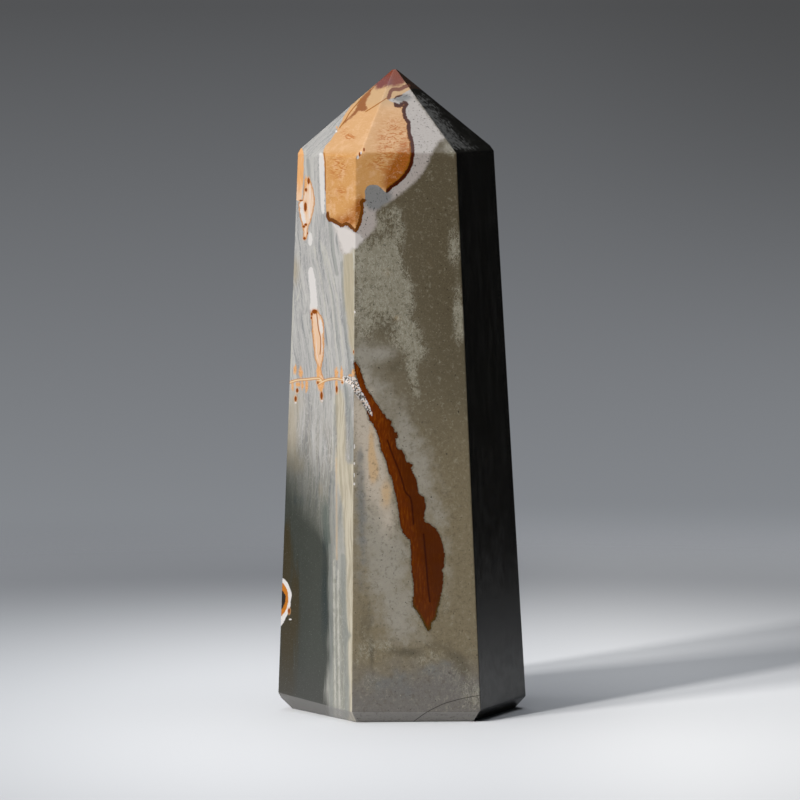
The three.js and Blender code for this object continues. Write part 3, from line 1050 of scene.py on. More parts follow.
def paint_left_ground(paint, colours):
    """The pale grey left side in long streaks, the green shade low on it, the cream band, and a little
    painted bounce light on the bevel below it.
    """
    fine = flow_noise(paint, 0.42, 0.013, detail=4.0, rough=0.7)
    broad = flow_noise(paint, 0.13, 0.007, seed=4.0)
    hair = flow_noise(paint, 0.95, 0.02, detail=2.0, seed=9.0)
    ground = paint.over(colours.grey, colours.grey_warm, paint.smooth(paint.at[1], *WARM_ROWS))
    ground = paint.over(ground, colours.grey_low, paint.smooth(paint.at[1], *LOW_ROWS))
    ground = paint.over(ground, colours.grey_pale, paint.smooth(broad, 0.42, 0.62, top=0.8))
    ground = paint.over(ground, colours.grey_deep, paint.smooth(fine, 0.50, 0.66, top=0.75))
    ground = paint.over(ground, colours.chalk, paint.smooth(fine, 0.43, 0.30, top=0.35))
    ground = paint.over(ground, colours.grey_deep, paint.smooth(hair, 0.54, 0.68, top=0.5))
    ground = paint.over(ground, colours.grey_pale, paint.smooth(hair, 0.44, 0.32, top=0.5))
    marble = paint.noise(paint.stretch(paint.solid, (1.0, 1.0, 0.4)), 0.55, detail=4.0, rough=0.6, warp=1.6)
    veins = paint.math("ABSOLUTE", paint.math("SUBTRACT", marble, 0.5))
    ground = paint.over(ground, colours.grey_pale, paint.smooth(veins, 0.045, 0.005, top=0.6))
    ground = paint.over(ground, colours.grey_deep, paint.smooth(marble, 0.60, 0.70, top=0.35))
    ground = paint.over(ground, colours.grey_low, paint.smooth(paint.at[1], *DIM_ROWS, top=0.45))
    warm = paint.cloud("beige", 0.1, 1.0, amount=0.7, noise=fine, top=0.7)
    green = paint.cloud("teal", 0.1, 1.0, amount=0.5, noise=fine, top=0.8)
    ground = paint.over(ground, colours.beige, warm)
    ground = paint.over(ground, colours.teal, green)
    edge = paint.math("MULTIPLY_ADD", fine, 10.0, paint.math("ADD", paint.value("shade"), -5.0))
    soft = paint.smooth(paint.at[1], *SHADE_ROWS, bottom=32.0, top=5.0)
    cover = paint.smooth(edge, paint.math("MULTIPLY", soft, -1.0), soft)
    ground = paint.over(ground, paint_shade(paint, fine, colours), cover)
    cream = paint_cream(paint, fine, hair, colours)
    ground = paint.over(ground, cream, paint.inside("cream", ragged=1.0, grain=0.5, soft=2.2))
    ground = paint_wavy_lines(paint, ground, colours)
    ground = paint.over(ground, colours.grey_deep, paint.smooth(paint.grain, 0.56, 0.76, top=0.35))
    ground = paint.over(ground, colours.grey_pale, paint.smooth(paint.grain, 0.42, 0.26, top=0.25))
    # Painted bounce light, weaker here: the bevel that faces down is painted paler.
    return paint.over(ground, colours.foot_bevel_bounce_light, paint.math("MULTIPLY", paint.bevel, 0.4))


def paint_cream(paint, fine, hair, colours):
    """The cream bands along the front edge, with olive streaks, and deeper higher up."""
    cream = paint.over(colours.cream_band, colours.cream_olive, paint.smooth(fine, 0.46, 0.60, top=0.75))
    cream = paint.over(cream, colours.cream_olive, paint.smooth(hair, 0.52, 0.66, top=0.5))
    return paint.over(cream, colours.cream_deep, paint.smooth(paint.at[1], *CREAM_ROWS, top=0.6))


def paint_wavy_lines(paint, ground, colours):
    """The blue-grey, pale and ochre lines of the left side."""
    cool = paint.inside("cool_lines", ragged=0.5, grain=0.5, soft=1.0)
    ground = paint.over(ground, colours.cool, paint.math("MULTIPLY", cool, 0.5))
    pale_lines = paint.inside("pale_lines", ragged=0.8, grain=0.6, soft=0.8)
    ground = paint.over(ground, colours.pale_line, paint.math("MULTIPLY", pale_lines, 0.75))
    ochre_lines = paint.inside("ochre_lines", ragged=0.3, grain=0.6, soft=1.0)
    return paint.over(ground, colours.ochre, paint.math("MULTIPLY", ochre_lines, 0.5))


def paint_shade(paint, fine, colours):
    """The dark green-grey zone, with brown stains by the left edge and a bluer right side."""
    shade = paint.over(colours.shade_pale, colours.shade, paint.smooth(paint.value("shade"), 8.0, 60.0))
    shade = paint.over(shade, colours.shade_high, paint.smooth(fine, 0.48, 0.30, top=0.6))
    bluer = paint.cloud("teal", 0.1, 0.6, amount=0.3, noise=fine)
    stained = paint.cloud("stain", 0.05, 0.6, amount=0.6, noise=fine, top=0.9)
    shade = paint.over(shade, colours.shade_blue, bluer)
    shade = paint.over(shade, colours.stain, stained)
    return paint.over(shade, colours.shade_foot, paint.smooth(paint.at[1], *SHADE_FOOT_ROWS, top=0.7))


def paint_dark_ground_and_shade(paint, colours):
    """The very dark right side, with faint grey wisps: partly the stone's own dark colour and partly painted
    shade.
    """
    upright = paint.stretch(paint.solid, (1.0, 1.0, 0.22))
    wisps = paint.noise(upright, 0.45, detail=6.0, rough=0.7, warp=0.6)
    ground = paint.over(colours.black_ground_and_shade, colours.soot, paint.smooth(wisps, 0.45, 0.7))
    misty = paint.cloud("mist", 0.15, 1.0, amount=1.6, noise=paint.broken, top=0.8)
    ground = paint.over(ground, colours.mist, misty)
    return paint.over(ground, colours.mist, paint.smooth(paint.grain, 0.62, 0.8, top=0.15))


def paint_grounds(paint, colours):
    """The grounds of all sides, before any marking."""
    ground = paint_front_ground(paint, colours)
    wobble = paint.math("MULTIPLY_ADD", paint.cloudy, 30.0, -15.0)
    drift = paint.math("MULTIPLY_ADD", paint.broad, 110.0, -55.0)
    wandering = paint.math("ADD", paint.math("ADD", paint.at[0], wobble), drift)
    far = paint.smooth(wandering, *GREY_COLUMNS)
    left = paint.math("MULTIPLY", paint.smooth(paint.at[2], -0.3, 0.3), far)
    ground = paint.over(ground, paint_left_ground(paint, colours), left)
    beyond = paint.smooth(paint.math("ADD", paint.at[0], wobble), *BLACK_COLUMNS)
    # Dark stone on the far back; on the right side, dark stone with painted shade in it.
    dark = paint.math("MAXIMUM", paint.smooth(paint.value("right_edge"), -0.4, 0.4), beyond)
    return paint.over(ground, paint_dark_ground_and_shade(paint, colours), dark)


def paint_cap(paint, ground, colours):
    """The tan cap over the point, with its dark rim, and the pale halo round it, paler on the point's faces
    as painted sheen and left off the right side's painted shade.
    """
    # Painted sheen: the halo is paler above the shoulder, on the point's faces.
    halo = paint.over(colours.halo, colours.halo_low, paint.smooth(paint.at[1], *HALO_SHEEN_ROWS))
    halo = paint.over(halo, colours.smoke, paint.cloud("smoke", 0.1, 0.8, amount=0.7, top=0.9))
    halo = paint.over(halo, colours.pit, paint.smooth(paint.grain, 0.58, 0.72, top=0.6))
    specks = paint.math("MULTIPLY", paint.specks(1.7, 0.62, 0.68), 0.75)
    halo = paint.over(halo, colours.pit, specks)
    halo = paint.over(halo, colours.chalk, paint.smooth(paint.grain, 0.40, 0.26, top=0.4))
    # Painted shade: the halo is left off the right side, so that it stays dark.
    off_shaded_right_side = paint.smooth(paint.value("right_edge"), 0.4, -0.4)
    cover = paint.math("MULTIPLY", paint.inside("halo", ragged=1.8, grain=0.9, soft=2.6), off_shaded_right_side)
    ground = paint.over(ground, halo, cover)
    white = paint.inside("white_patch", ragged=1.8, grain=0.9, soft=2.0)
    ground = paint.over(ground, colours.white_patch, white)
    cap = paint.inside("cap", ragged=0.6, grain=1.5, soft=0.3)
    ground = paint.over(ground, paint_tan(paint, colours), cap)
    ground = paint_rim(paint, ground, colours)
    return paint.over(ground, colours.hook, paint.inside("hook", ragged=0.6, grain=1.8, soft=0.5))


def paint_rim(paint, ground, colours):
    """The dark rim along the edge of the cap: broad on the right, narrow below the left lobe."""
    waves = paint.math("MULTIPLY_ADD", paint.broken, 4.0, -3.0)
    wobble = paint.math("MULTIPLY_ADD", paint.grain, 2.0, waves)
    depth = paint.math("ADD", paint.value("cap"), wobble)
    width = paint.smooth(paint.at[0], *RIM_COLUMNS, bottom=2.7, top=4.4)
    width = paint.math("SUBTRACT", width, paint.smooth(paint.at[1], *RIM_ROWS, top=1.2))
    inner = paint.smooth(paint.math("SUBTRACT", width, depth), -0.4, 0.4)
    band = paint.math("MULTIPLY", paint.smooth(depth, -1.2, -0.4), inner)
    band = paint.math("MULTIPLY", band, paint.smooth(paint.value("rim_zone"), -0.6, 0.6))
    lobe = paint.smooth(paint.at[0], *LOBE_COLUMNS, top=0.35)
    brighter = paint.math("MAXIMUM", lobe, paint.smooth(depth, 1.9, 3.9))
    rim = paint.over(colours.rim, colours.rim_bright, brighter)
    return paint.over(ground, rim, band)


def paint_tan(paint, colours):
    """The tan itself: paler on the point's faces as painted sheen, deeper by the rim, with red-orange flecks,
    a brown patch and a mauve tip, and painted shade on the right side.
    """
    # Painted sheen: the tan is paler above the shoulder, on the point's faces.
    tan = paint.over(colours.tan, colours.tan_low, paint.smooth(paint.at[1], *TAN_SHEEN_ROWS, top=0.7))
    tan = paint.over(tan, colours.tan_pale, paint.smooth(paint.cloudy, 0.5, 0.35, top=0.5))
    tan = paint.over(tan, colours.ember, paint.cloud("ember", 0.1, 0.95, amount=0.25))
    slanted = paint.stretch(paint.drawing, (0.16, 0.42, 0.0), turn=(0.0, 0.0, 0.6))
    strokes = paint.noise(slanted, 1.0, detail=3.0, warp=1.4)
    tan = paint.over(tan, colours.tan_pale, paint.smooth(strokes, 0.45, 0.33, top=0.35))
    near = paint.smooth(paint.value("fleck"), 0.05, 0.7)
    flecked = paint.math("MULTIPLY", near, paint.smooth(strokes, 0.49, 0.57))
    tan = paint.over(tan, colours.fleck, paint.math("MULTIPLY", flecked, 0.8))
    tan = paint.over(tan, colours.ember, paint.smooth(paint.grain, 0.56, 0.74, top=0.35))
    tan = paint.over(tan, colours.tan_pale, paint.smooth(paint.grain, 0.43, 0.28, top=0.5))
    tan = paint.over(tan, colours.cream_tip, paint.smooth(paint.at[1], *CREAM_TIP_ROWS, top=0.8))
    tan = paint.over(tan, colours.tan_brown, paint.inside("brown", ragged=1.1, grain=1.2, soft=0.9))
    mauve = paint.over(colours.mauve, colours.mauve_red, paint.smooth(paint.at[1], *MAUVE_ROWS))
    mauve = paint.over(mauve, colours.mauve_red, paint.smooth(paint.at[0], *MAUVE_COLUMNS, top=0.75))
    mauve = paint.over(mauve, colours.tan_brown, paint.smooth(paint.grain, 0.5, 0.7, top=0.4))
    tan = paint.over(tan, mauve, paint.inside("mauve", ragged=1.6, grain=1.2, soft=2.2))
    # Painted shade: the tip and the cap turn dark brown on the right side.
    return paint.over(tan, colours.tip_painted_shade, paint.smooth(paint.value("right_edge"), -0.3, 0.3))


def paint_left_markings(paint, ground, colours):
    """The lenses, the orange strip, white streaks, the level line with its spikes, and red drops."""
    streaks = flow_noise(paint, 0.7, 0.03, detail=3.0, seed=17.0)
    white = paint.math("MULTIPLY", paint.inside("white", ragged=0.8), 0.9)
    ground = paint.over(ground, colours.chalk, white)
    strip = paint.over(colours.orange, colours.lens, paint.smooth(paint.at[1], *STRIP_ROWS, top=0.7))
    strip = paint.over(strip, colours.lens, paint.smooth(streaks, 0.54, 0.68, top=0.6))
    strip = paint.over(strip, colours.orange_deep, paint.smooth(streaks, 0.44, 0.32, top=0.5))
    ground = paint.over(ground, strip, paint.inside("strip", ragged=0.5, grain=1.2, soft=0.5))
    ground = paint.over(ground, colours.orange_deep, paint.inside("lens", ragged=0.8, grain=1.2, soft=0.6))
    lens = paint.over(colours.lens, colours.orange, paint.smooth(paint.at[1], *LENS_ROWS, top=0.35))
    lens = paint.over(lens, colours.chalk, paint.smooth(streaks, 0.53, 0.63, top=0.6))
    lens = paint.over(lens, colours.orange_deep, paint.smooth(streaks, 0.42, 0.30, top=0.5))
    ground = paint.over(ground, lens, paint.inside("lens", ragged=0.8, grain=1.2, soft=0.8, shift=1.0))
    white_core = paint.math("MULTIPLY", white, paint.inside("lens", shift=1.3))
    ground = paint.over(ground, colours.chalk, white_core)
    spikes = paint.over(colours.orange, colours.orange_deep, paint.smooth(paint.grain, 0.50, 0.66))
    cover = paint.smooth(paint.broken, 0.30, 0.50, bottom=0.5, top=0.95)
    upright = flow_noise(paint, 1.2, 0.16, detail=3.0, seed=23.0)
    dabs = paint.dabs(ORANGE_DABS, soft=0.25, wobble=2.6, noise=upright)
    ground = paint.over(ground, spikes, paint.math("MULTIPLY", dabs, cover))
    ground = paint.over(ground, colours.orange_deep, paint.line("seam", 1.3, soft=0.7))
    ground = paint.over(ground, colours.cream, paint.line("seam", 0.6, soft=0.4))
    halo = paint.math("MULTIPLY", paint.dabs(RED_DABS, grown=1.5, soft=0.35), 0.55)
    ground = paint.over(ground, colours.orange, halo)
    return paint.over(ground, colours.red, paint.dabs(RED_DABS))


def paint_eye(paint, ground, colours):
    """The small eye low on the left edge: a white ring, an amber ring and a dark core."""
    ground = paint.over(ground, colours.chalk, paint.inside("eye", ragged=0.6, soft=0.4))
    ground = paint.over(ground, colours.amber, paint.inside("eye_ring", ragged=0.6, soft=0.4))
    ground = paint.over(ground, colours.pit, paint.inside("eye_core", ragged=0.8, soft=0.5))
    return paint.over(ground, colours.red, paint.inside("eye_core", ragged=0.8, soft=1.0, shift=4.2))


def paint_vein(paint, ground, colours):
    """The rust vein that runs down the front, brighter on its left and split by dark midribs."""
    slanted = paint.stretch(paint.drawing, (0.55, 0.10, 0.0), turn=(0.0, 0.0, 0.25))
    along = paint.noise(slanted, 1.0, detail=4.0, rough=0.65)
    rust = paint.over(colours.rust, colours.rust_bright, paint.smooth(along, 0.50, 0.64, top=0.6))
    rust = paint.over(rust, colours.rust_dark, paint.smooth(along, 0.46, 0.34, top=0.4))
    across = paint.math("MULTIPLY_ADD", paint.at[1], VEIN_SLOPE, paint.at[0])
    rust = paint.over(rust, colours.rust_dark, paint.smooth(across, *VEIN_COLUMNS, top=0.75))
    rust = paint.over(rust, colours.rust_dark, paint.smooth(paint.at[1], *VEIN_ROWS, top=0.5))
    rust = paint.over(rust, colours.rust_dark, paint.smooth(paint.value("vein"), 1.6, 0.2, top=0.8))
    rust = paint.over(rust, colours.midrib, paint.line("midrib", 0.6, soft=1.1))
    low = paint.smooth(paint.at[1], *VEIN_FOOT_ROWS, top=0.6)
    foot = paint.math("MULTIPLY", low, paint.smooth(paint.value("vein"), 3.2, 0.6))
    rust = paint.over(rust, colours.moss, foot)
    fringe = paint.inside("vein", ragged=1.6, grain=2.2, soft=0.5, shift=-1.2)
    ground = paint.over(ground, colours.deep, paint.math("MULTIPLY", fringe, 0.55))
    return paint.over(ground, rust, paint.inside("vein", ragged=1.5, grain=1.7, soft=0.25))


def paint_druzy(paint, ground, colours):
    """The crevice of small crystals beside the top of the vein, and white chips along the edge."""
    inputs = {"Vector": paint.solid, "Scale": CRYSTAL_CELLS}
    cells = paint.add("ShaderNodeTexVoronoi", inputs, feature="F1").outputs
    chances = paint.add("ShaderNodeSeparateXYZ", {"Vector": cells["Color"]}).outputs
    dark = paint.smooth(chances[0], 0.62, 0.68, top=0.85)
    rosy = paint.smooth(chances[1], 0.6, 0.7, top=0.7)
    crystals = paint.over(colours.chalk, colours.lens, rosy)
    crystals = paint.over(crystals, colours.pit, dark)
    ground = paint.over(ground, crystals, paint.inside("druzy", ragged=0.8, grain=1.5, soft=0.4))
    return paint.over(ground, colours.chalk, paint.dabs(GLINTS))


def stone_material(colours):
    """The whole finish of the polished jasper."""
    material = bpy.data.materials.new("polished_jasper")
    material.use_nodes = True
    material.node_tree.nodes.clear()
    groups = {"ragged": ragged_edge_group(), "specks": speckle_group(), "dab": dab_group()}
    paint = Painter(material.node_tree, groups)
    ground = paint_grounds(paint, colours)
    ground = paint_cap(paint, ground, colours)
    ground = paint_eye(paint, ground, colours)
    ground = paint_left_markings(paint, ground, colours)
    ground = paint.over(ground, colours.rim_bright, paint.line("hairline", 0.45))
    ground = paint_vein(paint, ground, colours)
    ground = paint_druzy(paint, ground, colours)
    ground = paint.over(ground, colours.pit, paint.line("crack", 0.3, soft=0.4))
    polish = paint.smooth(paint.cloudy, 0.3, 0.7, bottom=0.17, top=0.27)
    relief = {"Strength": BUMP_STRENGTH, "Distance": BUMP_HEIGHT, "Height": paint.grain}
    bump = paint.add("ShaderNodeBump", relief).outputs[0]
    inputs = {"Base Color": ground, "Roughness": polish, "Normal": bump, "Specular IOR Level": SHEEN}
    shader = paint.add("ShaderNodeBsdfPrincipled", inputs)
    paint.add("ShaderNodeOutputMaterial", {"Surface": shader.outputs[0]})
    return material


def length(name, description, default):
    """A length in metres that the user can change."""
    return FloatProperty(name=name, description=description, default=default, unit="LENGTH")


def watts(name, description, default):
    """The strength of a light in watts."""
    return FloatProperty(name=name, description=description, default=default, unit="POWER")


def colour(name, description, default):
    """A colour of the stone that the user can change."""
    return FloatVectorProperty(
        name=name, description=description, default=default, subtype="COLOR", min=0.0, max=1.0, size=3
    )


class StoneSizes(bpy.types.PropertyGroup):
    """Sizes of the stone's mesh."""

    edge_round: length("Edge round", "How far the ground edges are worn round", 0.00025)
    seen_step: length("Front columns", "Spacing of the upright cuts, front and left", 0.0005)
    hidden_step: length("Other columns", "Spacing of the upright cuts on the other sides", 0.0008)
    row_step: length("Rows", "Spacing of the level cuts in the sides", 0.0006)
    tip_step: length("Tip rows", "Spacing of the level cuts in the point", 0.00036)
    crevice_depth: length("Crevice depth", "Depth of the crystal crevice", 0.0006)
    chip_depth: length("Chip depth", "Depth of the chips along the edges", 0.0003)


class StoneColours(bpy.types.PropertyGroup):
    """Colours of the stone."""

    olive_dark: colour("Dark olive", "Ground at the top of the front", (0.085, 0.069, 0.042))
    olive: colour("Olive", "Ground of the front", (0.100, 0.083, 0.053))
    olive_mid: colour("Middle olive", "Ground in the middle of the front", (0.172, 0.141, 0.089))
    olive_pale: colour("Pale olive", "Paler ground to the left of the front", (0.185, 0.162, 0.120))
    foot: colour("Foot", "Ground at the foot of the front", (0.135, 0.125, 0.115))
    smoke: colour("Smoke", "Grey cloud below the cap", (0.165, 0.17, 0.172))
    # Painted bounce light: the paler tone of the bevel that faces down.
    foot_bevel_bounce_light: colour("Foot bevel", "The narrow bevel below the front", (0.245, 0.232, 0.215))
    slate: colour("Slate", "Blue-grey clouds", (0.125, 0.13, 0.132))
    deep: colour("Deep olive", "Dark clouds of the front", (0.088, 0.075, 0.050))
    crust: colour("Crust", "Pale grains in the olive", (0.30, 0.285, 0.225))
    crust_pale: colour("Pale crust", "Branching lines in the crusts", (0.36, 0.35, 0.29))
    pale: colour("Pale", "Pale clouds of the front", (0.29, 0.275, 0.24))
    pink: colour("Pink", "Pinkish clouds beside the vein", (0.43, 0.375, 0.31))
    ochre: colour("Ochre", "Ochre stains", (0.50, 0.33, 0.165))
    pit: colour("Pit", "Dark specks", (0.015, 0.012, 0.010))
    grey: colour("Grey", "Ground of the left side", (0.320, 0.317, 0.312))
    grey_low: colour("Low grey", "Ground of the left side beside the dark zone", (0.200, 0.200, 0.168))
    grey_warm: colour("Warm grey", "Ground of the left side, lower down", (0.245, 0.232, 0.208))
    grey_pale: colour("Pale grey", "Pale streaks of the left side", (0.400, 0.393, 0.378))
    grey_deep: colour("Deep grey", "Dark streaks of the left side", (0.150, 0.158, 0.170))
    chalk: colour("Chalk", "White streaks and patches", (0.56, 0.54, 0.53))
    pale_line: colour("Pale line", "Pale wavy lines", (0.42, 0.41, 0.37))
    cool: colour("Cool line", "Blue-grey wavy lines", (0.175, 0.187, 0.178))
    beige: colour("Beige", "Warm clouds of the left side", (0.32, 0.275, 0.20))
    teal: colour("Teal", "Green tint beside the shade", (0.13, 0.155, 0.135))
    cream_band: colour("Cream band", "Band along the front edge", (0.43, 0.39, 0.31))
    cream_olive: colour("Olive cream", "Streaks in the cream band", (0.28, 0.25, 0.185))
    cream_deep: colour("Deep cream", "The cream band higher up", (0.33, 0.29, 0.205))
    shade: colour("Shade", "Dark zone low on the left side", (0.025, 0.028, 0.023))
    shade_pale: colour("Shade rim", "The outer part of the dark zone", (0.041, 0.045, 0.038))
    shade_high: colour("Shade streak", "Lighter streaks of the dark zone", (0.045, 0.050, 0.042))
    shade_blue: colour("Shade blue", "Bluer part of the dark zone", (0.025, 0.032, 0.031))
    shade_foot: colour("Shade foot", "Lowest part of the dark zone", (0.038, 0.038, 0.034))
    stain: colour("Stain", "Brown stains in the dark zone", (0.036, 0.027, 0.011))
    # Ground of the right side: partly the stone's own dark colour, partly painted shade.
    black_ground_and_shade: colour("Black", "Ground of the right side", (0.007, 0.006, 0.004))
    soot: colour("Soot", "Lighter wisps of the right side", (0.022, 0.021, 0.018))
    mist: colour("Mist", "Grey veil at the top of the right side", (0.19, 0.19, 0.185))
    # The halo's paler tone on the point's faces, with painted sheen in it.
    halo: colour("Halo", "Pale halo round the cap", (0.37, 0.345, 0.33))
    halo_low: colour("Lower halo", "The halo below the shoulder", (0.34, 0.305, 0.285))
    white_patch: colour("White patch", "Whitest part of the halo", (0.50, 0.47, 0.455))
    # The tan on the point's faces, made paler there as painted sheen.
    tan: colour("Tan", "The cap", (0.51, 0.300, 0.145))
    tan_pale: colour("Pale tan", "Paler clouds in the cap", (0.60, 0.385, 0.225))
    tan_low: colour("Lower tan", "The cap below the shoulder", (0.47, 0.230, 0.062))
    ember: colour("Ember", "The cap by its rim", (0.26, 0.077, 0.008))
    fleck: colour("Fleck", "Red-orange flecks in the cap", (0.36, 0.11, 0.022))
    tan_brown: colour("Brown", "Brown patch by the tip", (0.24, 0.095, 0.038))
    cream_tip: colour("Tip cream", "Cream ground by the tip", (0.44, 0.295, 0.165))
    mauve: colour("Mauve", "The tip", (0.155, 0.055, 0.052))
    mauve_red: colour("Red mauve", "The very top of the tip", (0.165, 0.036, 0.016))
    hook: colour("Hook", "Brown line below the tip", (0.16, 0.060, 0.035))
    # Painted shade on the tip and the cap, on the right side.
    tip_painted_shade: colour("Dark tip", "The tip and the cap on the right side", (0.040, 0.022, 0.014))
    rim: colour("Rim", "Dark rim of the cap", (0.045, 0.008, 0.002))
    rim_bright: colour("Bright rim", "Browner side of the rim", (0.25, 0.085, 0.008))
    orange: colour("Orange", "The strip, the level line and its spikes", (0.60, 0.315, 0.130))
    orange_deep: colour("Deep orange", "Rims of the lenses", (0.44, 0.19, 0.045))
    amber: colour("Amber", "Ring of the eye", (0.40, 0.13, 0.008))
    lens: colour("Lens", "Cores of the lenses", (0.60, 0.45, 0.34))
    cream: colour("Cream", "Core of the level line", (0.60, 0.47, 0.31))
    red: colour("Red drops", "Dark red drops of the left side", (0.20, 0.045, 0.002))
    rust: colour("Rust", "The vein", (0.110, 0.020, 0.001))
    rust_bright: colour("Bright rust", "Brighter streaks of the vein", (0.205, 0.052, 0.003))
    rust_dark: colour("Dark rust", "Right side and foot of the vein", (0.052, 0.011, 0.001))
    midrib: colour("Midrib", "Dark line along the vein", (0.016, 0.002, 0.001))
    moss: colour("Moss", "Greenish tint at the foot of the vein", (0.045, 0.035, 0.004))


class StageSizes(bpy.types.PropertyGroup):
    """Sizes and strengths of the stage."""

    floor_reach: length("Floor reach", "Radius of the pale floor", 0.60)
    key_power: watts("Key light", "Strength of the first of the two lights from the left", 11.5)
    fill_power: watts("Left fill", "Strength of the wide light from the left", 2.0)
    top_power: watts("Top light", "Strength of the light from above", 6.0)


class JASPER_OT_stone(bpy.types.Operator):
    """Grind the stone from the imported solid, and give it its markings and polish"""

    bl_idname = "jasper.stone"
    bl_label = "Stone"

    def execute(self, context):
        stone, lines = grind(frame["nodes"]["jasper_point"], context.scene.jasper_sizes)
        store_markings(stone.data, lines)
        carve(stone, context.scene.jasper_sizes)
        stone.data.materials.clear()
        stone.data.materials.append(stone_material(context.scene.jasper_colours))
        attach(stone, "root")
        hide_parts("jasper_point")
        return {"FINISHED"}


def add_camera(scene):
    """The camera at the photograph's viewing angle."""
    place = camera_axes()[0]
    bpy.ops.object.camera_add(location=place, rotation=(math.radians(90.0) - CAMERA_TILT, 0.0, 0.0))
    camera = bpy.context.object
    camera.name = "camera"
    camera.data.sensor_width = SENSOR_WIDTH
    camera.data.lens = SENSOR_WIDTH * LENS_PIXELS / FRAME_PIXELS
    camera.data.clip_start = 0.01
    scene.camera = camera


def add_area_light(name, direction, reach, size, power, colour, aim=(0.0, 0.0, 0.08)):
    """A square soft light that faces the stone."""
    toward = Vector(direction).normalized()
    bpy.ops.object.light_add(type="AREA", location=Vector(aim) + toward * reach)
    light = bpy.context.object
    light.name = name
    light.rotation_euler = toward.to_track_quat("Z", "Y").to_euler()
    light.data.size = size
    light.data.energy = power
    light.data.color = colour
    return light


def add_floor(reach):
    """A pale round floor with a painted pool of light, darker to the left and away from the stone, that fades
    out at its rim.
    """
    bpy.ops.mesh.primitive_circle_add(vertices=128, radius=reach, fill_type="NGON", location=(0.0, 0.0, 0.0))
    floor = bpy.context.object
    floor.name = "floor"
    material = bpy.data.materials.new("pale_floor")
    material.use_nodes = True
    material.node_tree.nodes.clear()
    nodes = Nodes(material.node_tree)
    place = nodes.add("ShaderNodeTexCoord").outputs["Object"]
    radius = nodes.add("ShaderNodeVectorMath", {0: place}, operation="LENGTH").outputs["Value"]
    across = nodes.add("ShaderNodeSeparateXYZ", {"Vector": place}).outputs[0]
    # Painted light: the floor is darker to the left, brighter to the right and dimmer far off.
    pale = nodes.over(FLOOR_LEFT, FLOOR_PALE, nodes.smooth(across, *FLOOR_LEFT_ACROSS))
    pale = nodes.over(pale, FLOOR_RIGHT, nodes.smooth(across, *FLOOR_RIGHT_ACROSS))
    far = nodes.over(FLOOR_FAR, FLOOR_FAR_RIGHT, nodes.smooth(across, *FLOOR_FAR_ACROSS))
    pale = nodes.over(pale, far, nodes.smooth(radius, *FLOOR_PAINTED_FALLOFF))
    matt = nodes.add("ShaderNodeBsdfDiffuse", {"Color": pale})
    clear = nodes.add("ShaderNodeBsdfTransparent")
    fade = nodes.smooth(radius, FLOOR_FADE, reach - FLOOR_RIM)
    mixed = nodes.add("ShaderNodeMixShader", {0: fade, 1: matt.outputs[0], 2: clear.outputs[0]})
    nodes.add("ShaderNodeOutputMaterial", {"Surface": mixed.outputs[0]})
    floor.data.materials.append(material)


def set_background(scene):
    """A soft grey background, pale below and dark above as painted falloff of the studio light, and a faint
    even light.
    """
    world = bpy.data.worlds.new("studio")
    scene.world = world
    world.use_nodes = True
    world.node_tree.nodes.clear()
    nodes = Nodes(world.node_tree)
    way = nodes.add("ShaderNodeTexCoord").outputs["Generated"]
    parts = nodes.add("ShaderNodeSeparateXYZ", {"Vector": way}).outputs
    rise = parts[2]
    sideways = nodes.smooth(parts[0], *WALL_ACROSS)
    low, high = WALL_TOP_RISE
    climb = nodes.add("ShaderNodeMapRange", {"Value": rise, "From Min": low, "From Max": high}).outputs[0]
    grey = nodes.over(WALL_LOW, WALL_HIGH, climb)
    lift = nodes.math("MULTIPLY_ADD", sideways, WALL_SLANT, rise)
    grey = nodes.over(WALL_FOOT, grey, nodes.smooth(lift, *WALL_FOOT_RISE))
    upper = nodes.smooth(rise, *WALL_CORNER_RISE, top=0.45)
    corner = nodes.math("MULTIPLY", nodes.smooth(parts[0], *WALL_CORNER_ACROSS), upper)
    grey = nodes.over(grey, WALL_CORNER, corner)
    seen = nodes.add("ShaderNodeBackground", {"Color": grey, "Strength": 1.0})
    felt = nodes.add("ShaderNodeBackground", {"Color": GLOW_COLOUR, "Strength": WORLD_GLOW})
    path = nodes.add("ShaderNodeLightPath").outputs["Is Camera Ray"]
    mixed = nodes.add("ShaderNodeMixShader", {0: path, 1: felt.outputs[0], 2: seen.outputs[0]})
    nodes.add("ShaderNodeOutputWorld", {"Surface": mixed.outputs[0]})


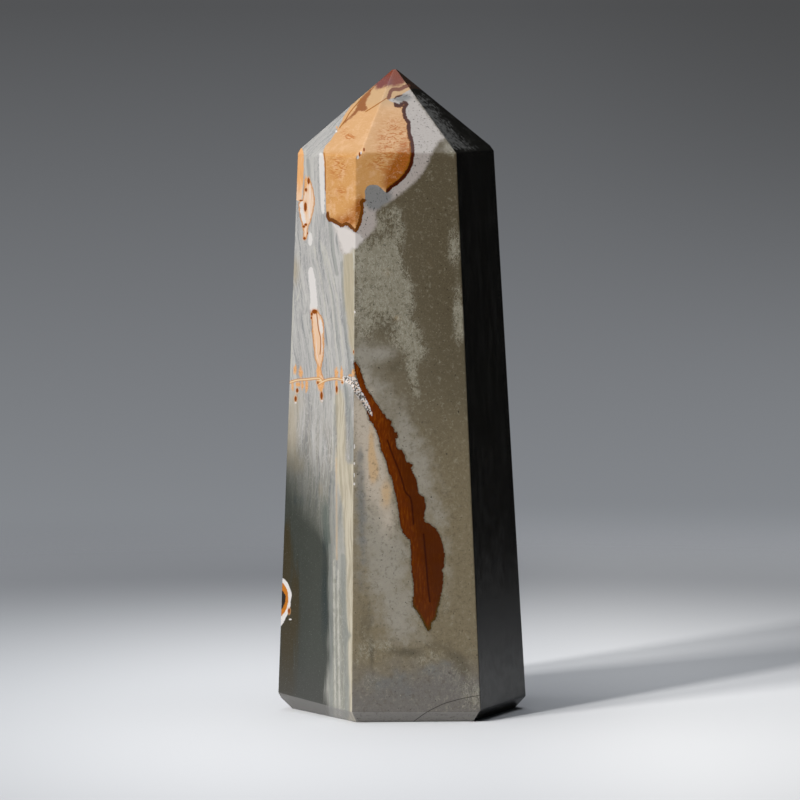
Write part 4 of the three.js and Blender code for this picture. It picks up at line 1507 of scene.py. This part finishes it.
def light_from(shadow_turn, rise):
    """The direction towards a light, from the turn of its shadows from +X and its rise, in degrees."""
    turn = math.radians(shadow_turn)
    up = math.radians(rise)
    return (-math.cos(turn) * math.cos(up), -math.sin(turn) * math.cos(up), math.sin(up))


class JASPER_OT_stage(bpy.types.Operator):
    """Set the pale floor, the studio light and the camera"""

    bl_idname = "jasper.stage"
    bl_label = "Stage"

    def execute(self, context):
        sizes = context.scene.jasper_stage
        add_camera(context.scene)
        add_floor(sizes.floor_reach)
        set_background(context.scene)
        front = light_from(KEY_FRONT_TURN, KEY_RISE)
        side = light_from(KEY_SIDE_TURN, KEY_RISE)
        side_power = sizes.key_power * KEY_SIDE_SHARE
        add_area_light("key_front", front, KEY_REACH, KEY_FRONT_SIZE, sizes.key_power, KEY_COLOUR)
        add_area_light("key_side", side, KEY_REACH, KEY_SIDE_SIZE, side_power, KEY_COLOUR)
        add_area_light("left_fill", FILL_WAY, FILL_REACH, FILL_SIZE, sizes.fill_power, KEY_COLOUR)
        add_area_light("top", TOP_WAY, TOP_REACH, TOP_SIZE, sizes.top_power, TOP_COLOUR)
        context.scene.view_settings.view_transform = "Standard"
        return {"FINISHED"}


class JASPER_PT_panel(bpy.types.Panel):
    """Lists the pieces of the jasper point"""

    bl_label = "Jasper Point"
    bl_space_type = "VIEW_3D"
    bl_region_type = "UI"
    bl_category = "Jasper"

    def draw(self, context):
        layout = self.layout
        layout.operator(JASPER_OT_stone.bl_idname)
        layout.operator(JASPER_OT_stage.bl_idname)


CLASSES = (StoneSizes, StoneColours, StageSizes, JASPER_OT_stone, JASPER_OT_stage, JASPER_PT_panel)


def register():
    for part in CLASSES:
        bpy.utils.register_class(part)
    bpy.types.Scene.jasper_sizes = PointerProperty(type=StoneSizes)
    bpy.types.Scene.jasper_colours = PointerProperty(type=StoneColours)
    bpy.types.Scene.jasper_stage = PointerProperty(type=StageSizes)


def unregister():
    del bpy.types.Scene.jasper_stage
    del bpy.types.Scene.jasper_colours
    del bpy.types.Scene.jasper_sizes
    for part in reversed(CLASSES):
        bpy.utils.unregister_class(part)


def main():
    register()
    bpy.ops.jasper.stone()
    bpy.ops.jasper.stage()


if __name__ == "__main__":
    main()
